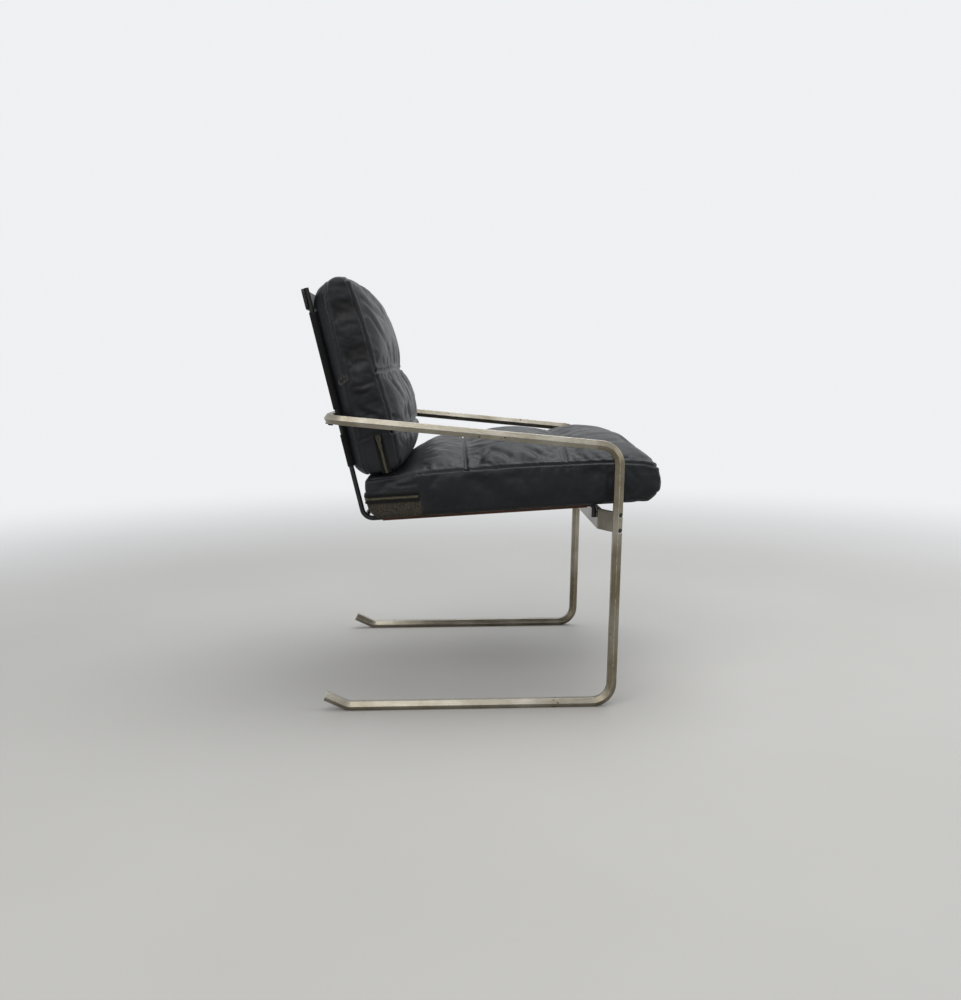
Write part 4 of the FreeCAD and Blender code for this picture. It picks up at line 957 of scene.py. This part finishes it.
bpy.ops.object.select_all(action="DESELECT")
bpy.ops.mesh.primitive_cube_add(size=0.001, location=(0, 0, 0))
tooth = bpy.context.object
bpy.ops.object.mode_set(mode="EDIT")
bpy.ops.transform.resize(value=(1.04, 2.8, 0.6))
bpy.ops.transform.translate(value=(0, 0.001, 0.0006))
shape = bmesh.from_edit_mesh(tooth.data)
for face in shape.faces:
    face.select_set(face.normal.z > 0.9)
bmesh.update_edit_mesh(tooth.data)
bpy.ops.mesh.extrude_region_move(TRANSFORM_OT_translate={"value": (0, 0, 0.0007)})
bpy.ops.transform.resize(value=(0.72, 0.80, 1))
bpy.ops.object.mode_set(mode="OBJECT")


def zip_band(name, node_name, line, place, tape_finish, teeth_finish):
    verts, faces, maps = [], [], []
    offsets = [(-0.0084, -0.0002), (-0.0078, 0.0008), (-0.0068, 0.0012), (-0.0058, 0.0009), (-0.0052, 0.0001),
               (-0.0026, 0.0001), (0.0, 0.0001), (0.0026, 0.0001),
               (0.0052, 0.0001), (0.0058, 0.0009), (0.0068, 0.0012), (0.0078, 0.0008), (0.0084, -0.0002)]
    outs = []
    for i in range(len(line)):
        ahead_run = (line[min(i + 1, len(line) - 1)] - line[max(i - 1, 0)]).normalized()
        outs.append((ahead_run, Vector((ahead_run.y, -ahead_run.x, 0))))
    for i, p in enumerate(line):
        for across_tape, lift in offsets:
            verts.append(place(p + outs[i][1] * lift, across_tape))
            maps.append((i * tooth_pitch, across_tape))
    width = len(offsets)
    for i in range(len(line) - 1):
        for j in range(width - 1):
            a = i * width + j
            faces.append((a, a + width, a + 1 + width, a + 1))
    tape = new_piece(name + "_tape", verts, faces)
    layer = tape.data.uv_layers.new(name="cloth")
    for loop in tape.data.loops:
        layer.data[loop.index].uv = maps[loop.vertex_index]
    marks = tape.data.attributes.new("stitch_row", "FLOAT", "POINT")
    marks.data.foreach_set("value", [1.0 if abs(abs(m[1]) - 0.004) < 0.001 else 0.0 for m in maps])
    thick = tape.modifiers.new("tape", "SOLIDIFY")
    thick.thickness = tape_thickness
    thick.offset = 0
    apply_all(tape)
    tape.data.materials.append(tape_finish)
    verts, faces = [], []
    for i in range(2, len(line) - 2):
        run, out = outs[i]
        side = 1 if i % 2 else -1
        start = len(verts)
        for vertex in tooth.data.vertices:
            along_run, across_tape, lift = vertex.co
            verts.append(place(line[i] + run * along_run + out * lift, side * across_tape))
        for face in tooth.data.polygons:
            faces.append(tuple(start + k for k in face.vertices))
    teeth = new_piece(name + "_teeth", verts, faces, smooth=False)
    bpy.ops.object.select_all(action="DESELECT")
    bpy.context.view_layer.objects.active = teeth
    teeth.select_set(True)
    bpy.ops.object.mode_set(mode="EDIT")
    bpy.ops.mesh.select_all(action="SELECT")
    bpy.ops.mesh.normals_make_consistent(inside=False)
    bpy.ops.object.mode_set(mode="OBJECT")
    teeth.select_set(False)
    teeth.data.materials.append(teeth_finish)
    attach(tape, "root")
    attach(teeth, "root")
    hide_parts(node_name)


zip_cloth = canvas("zip_tape", (0.004, 0.004, 0.004), (0.015, 0.014, 0.012), (0.02, 0.018, 0.015))
teeth_finish, tree, shader = new_material("zip_teeth")
dirt = cloudy(tree, node(tree, "ShaderNodeTexCoord"), 300.0, 4.0)
shade = two_tones(tree, dirt, 0.35, (0.10, 0.088, 0.05), 0.65, (0.27, 0.245, 0.155))
tree.links.new(shade, shader.inputs["Base Color"])
tree.links.new(ranged(tree, dirt, 0.0, 1.0, 0.35, 0.65), shader.inputs["Roughness"])
zip_band("seat_zip", "seat_zip", zip_line(0.106, -0.0063, 0.0104),
         lambda p, a: seat_point(-p.x, p.y, seat_zip_height - a), zip_cloth, teeth_finish)
zip_band("back_zip", "back_zip", zip_line(-0.046, 0.1167, 0.0104),
         lambda p, a: back_point(-p.x, p.y, back_zip_height + a), zip_cloth, teeth_finish)
bpy.data.objects.remove(tooth)
finish_node(["seat_zip_slider", "seat_zip_pull", "back_zip_slider", "back_zip_pull"],
            dark_steel("zip_metal", (0.055, 0.048, 0.034), 0.42))
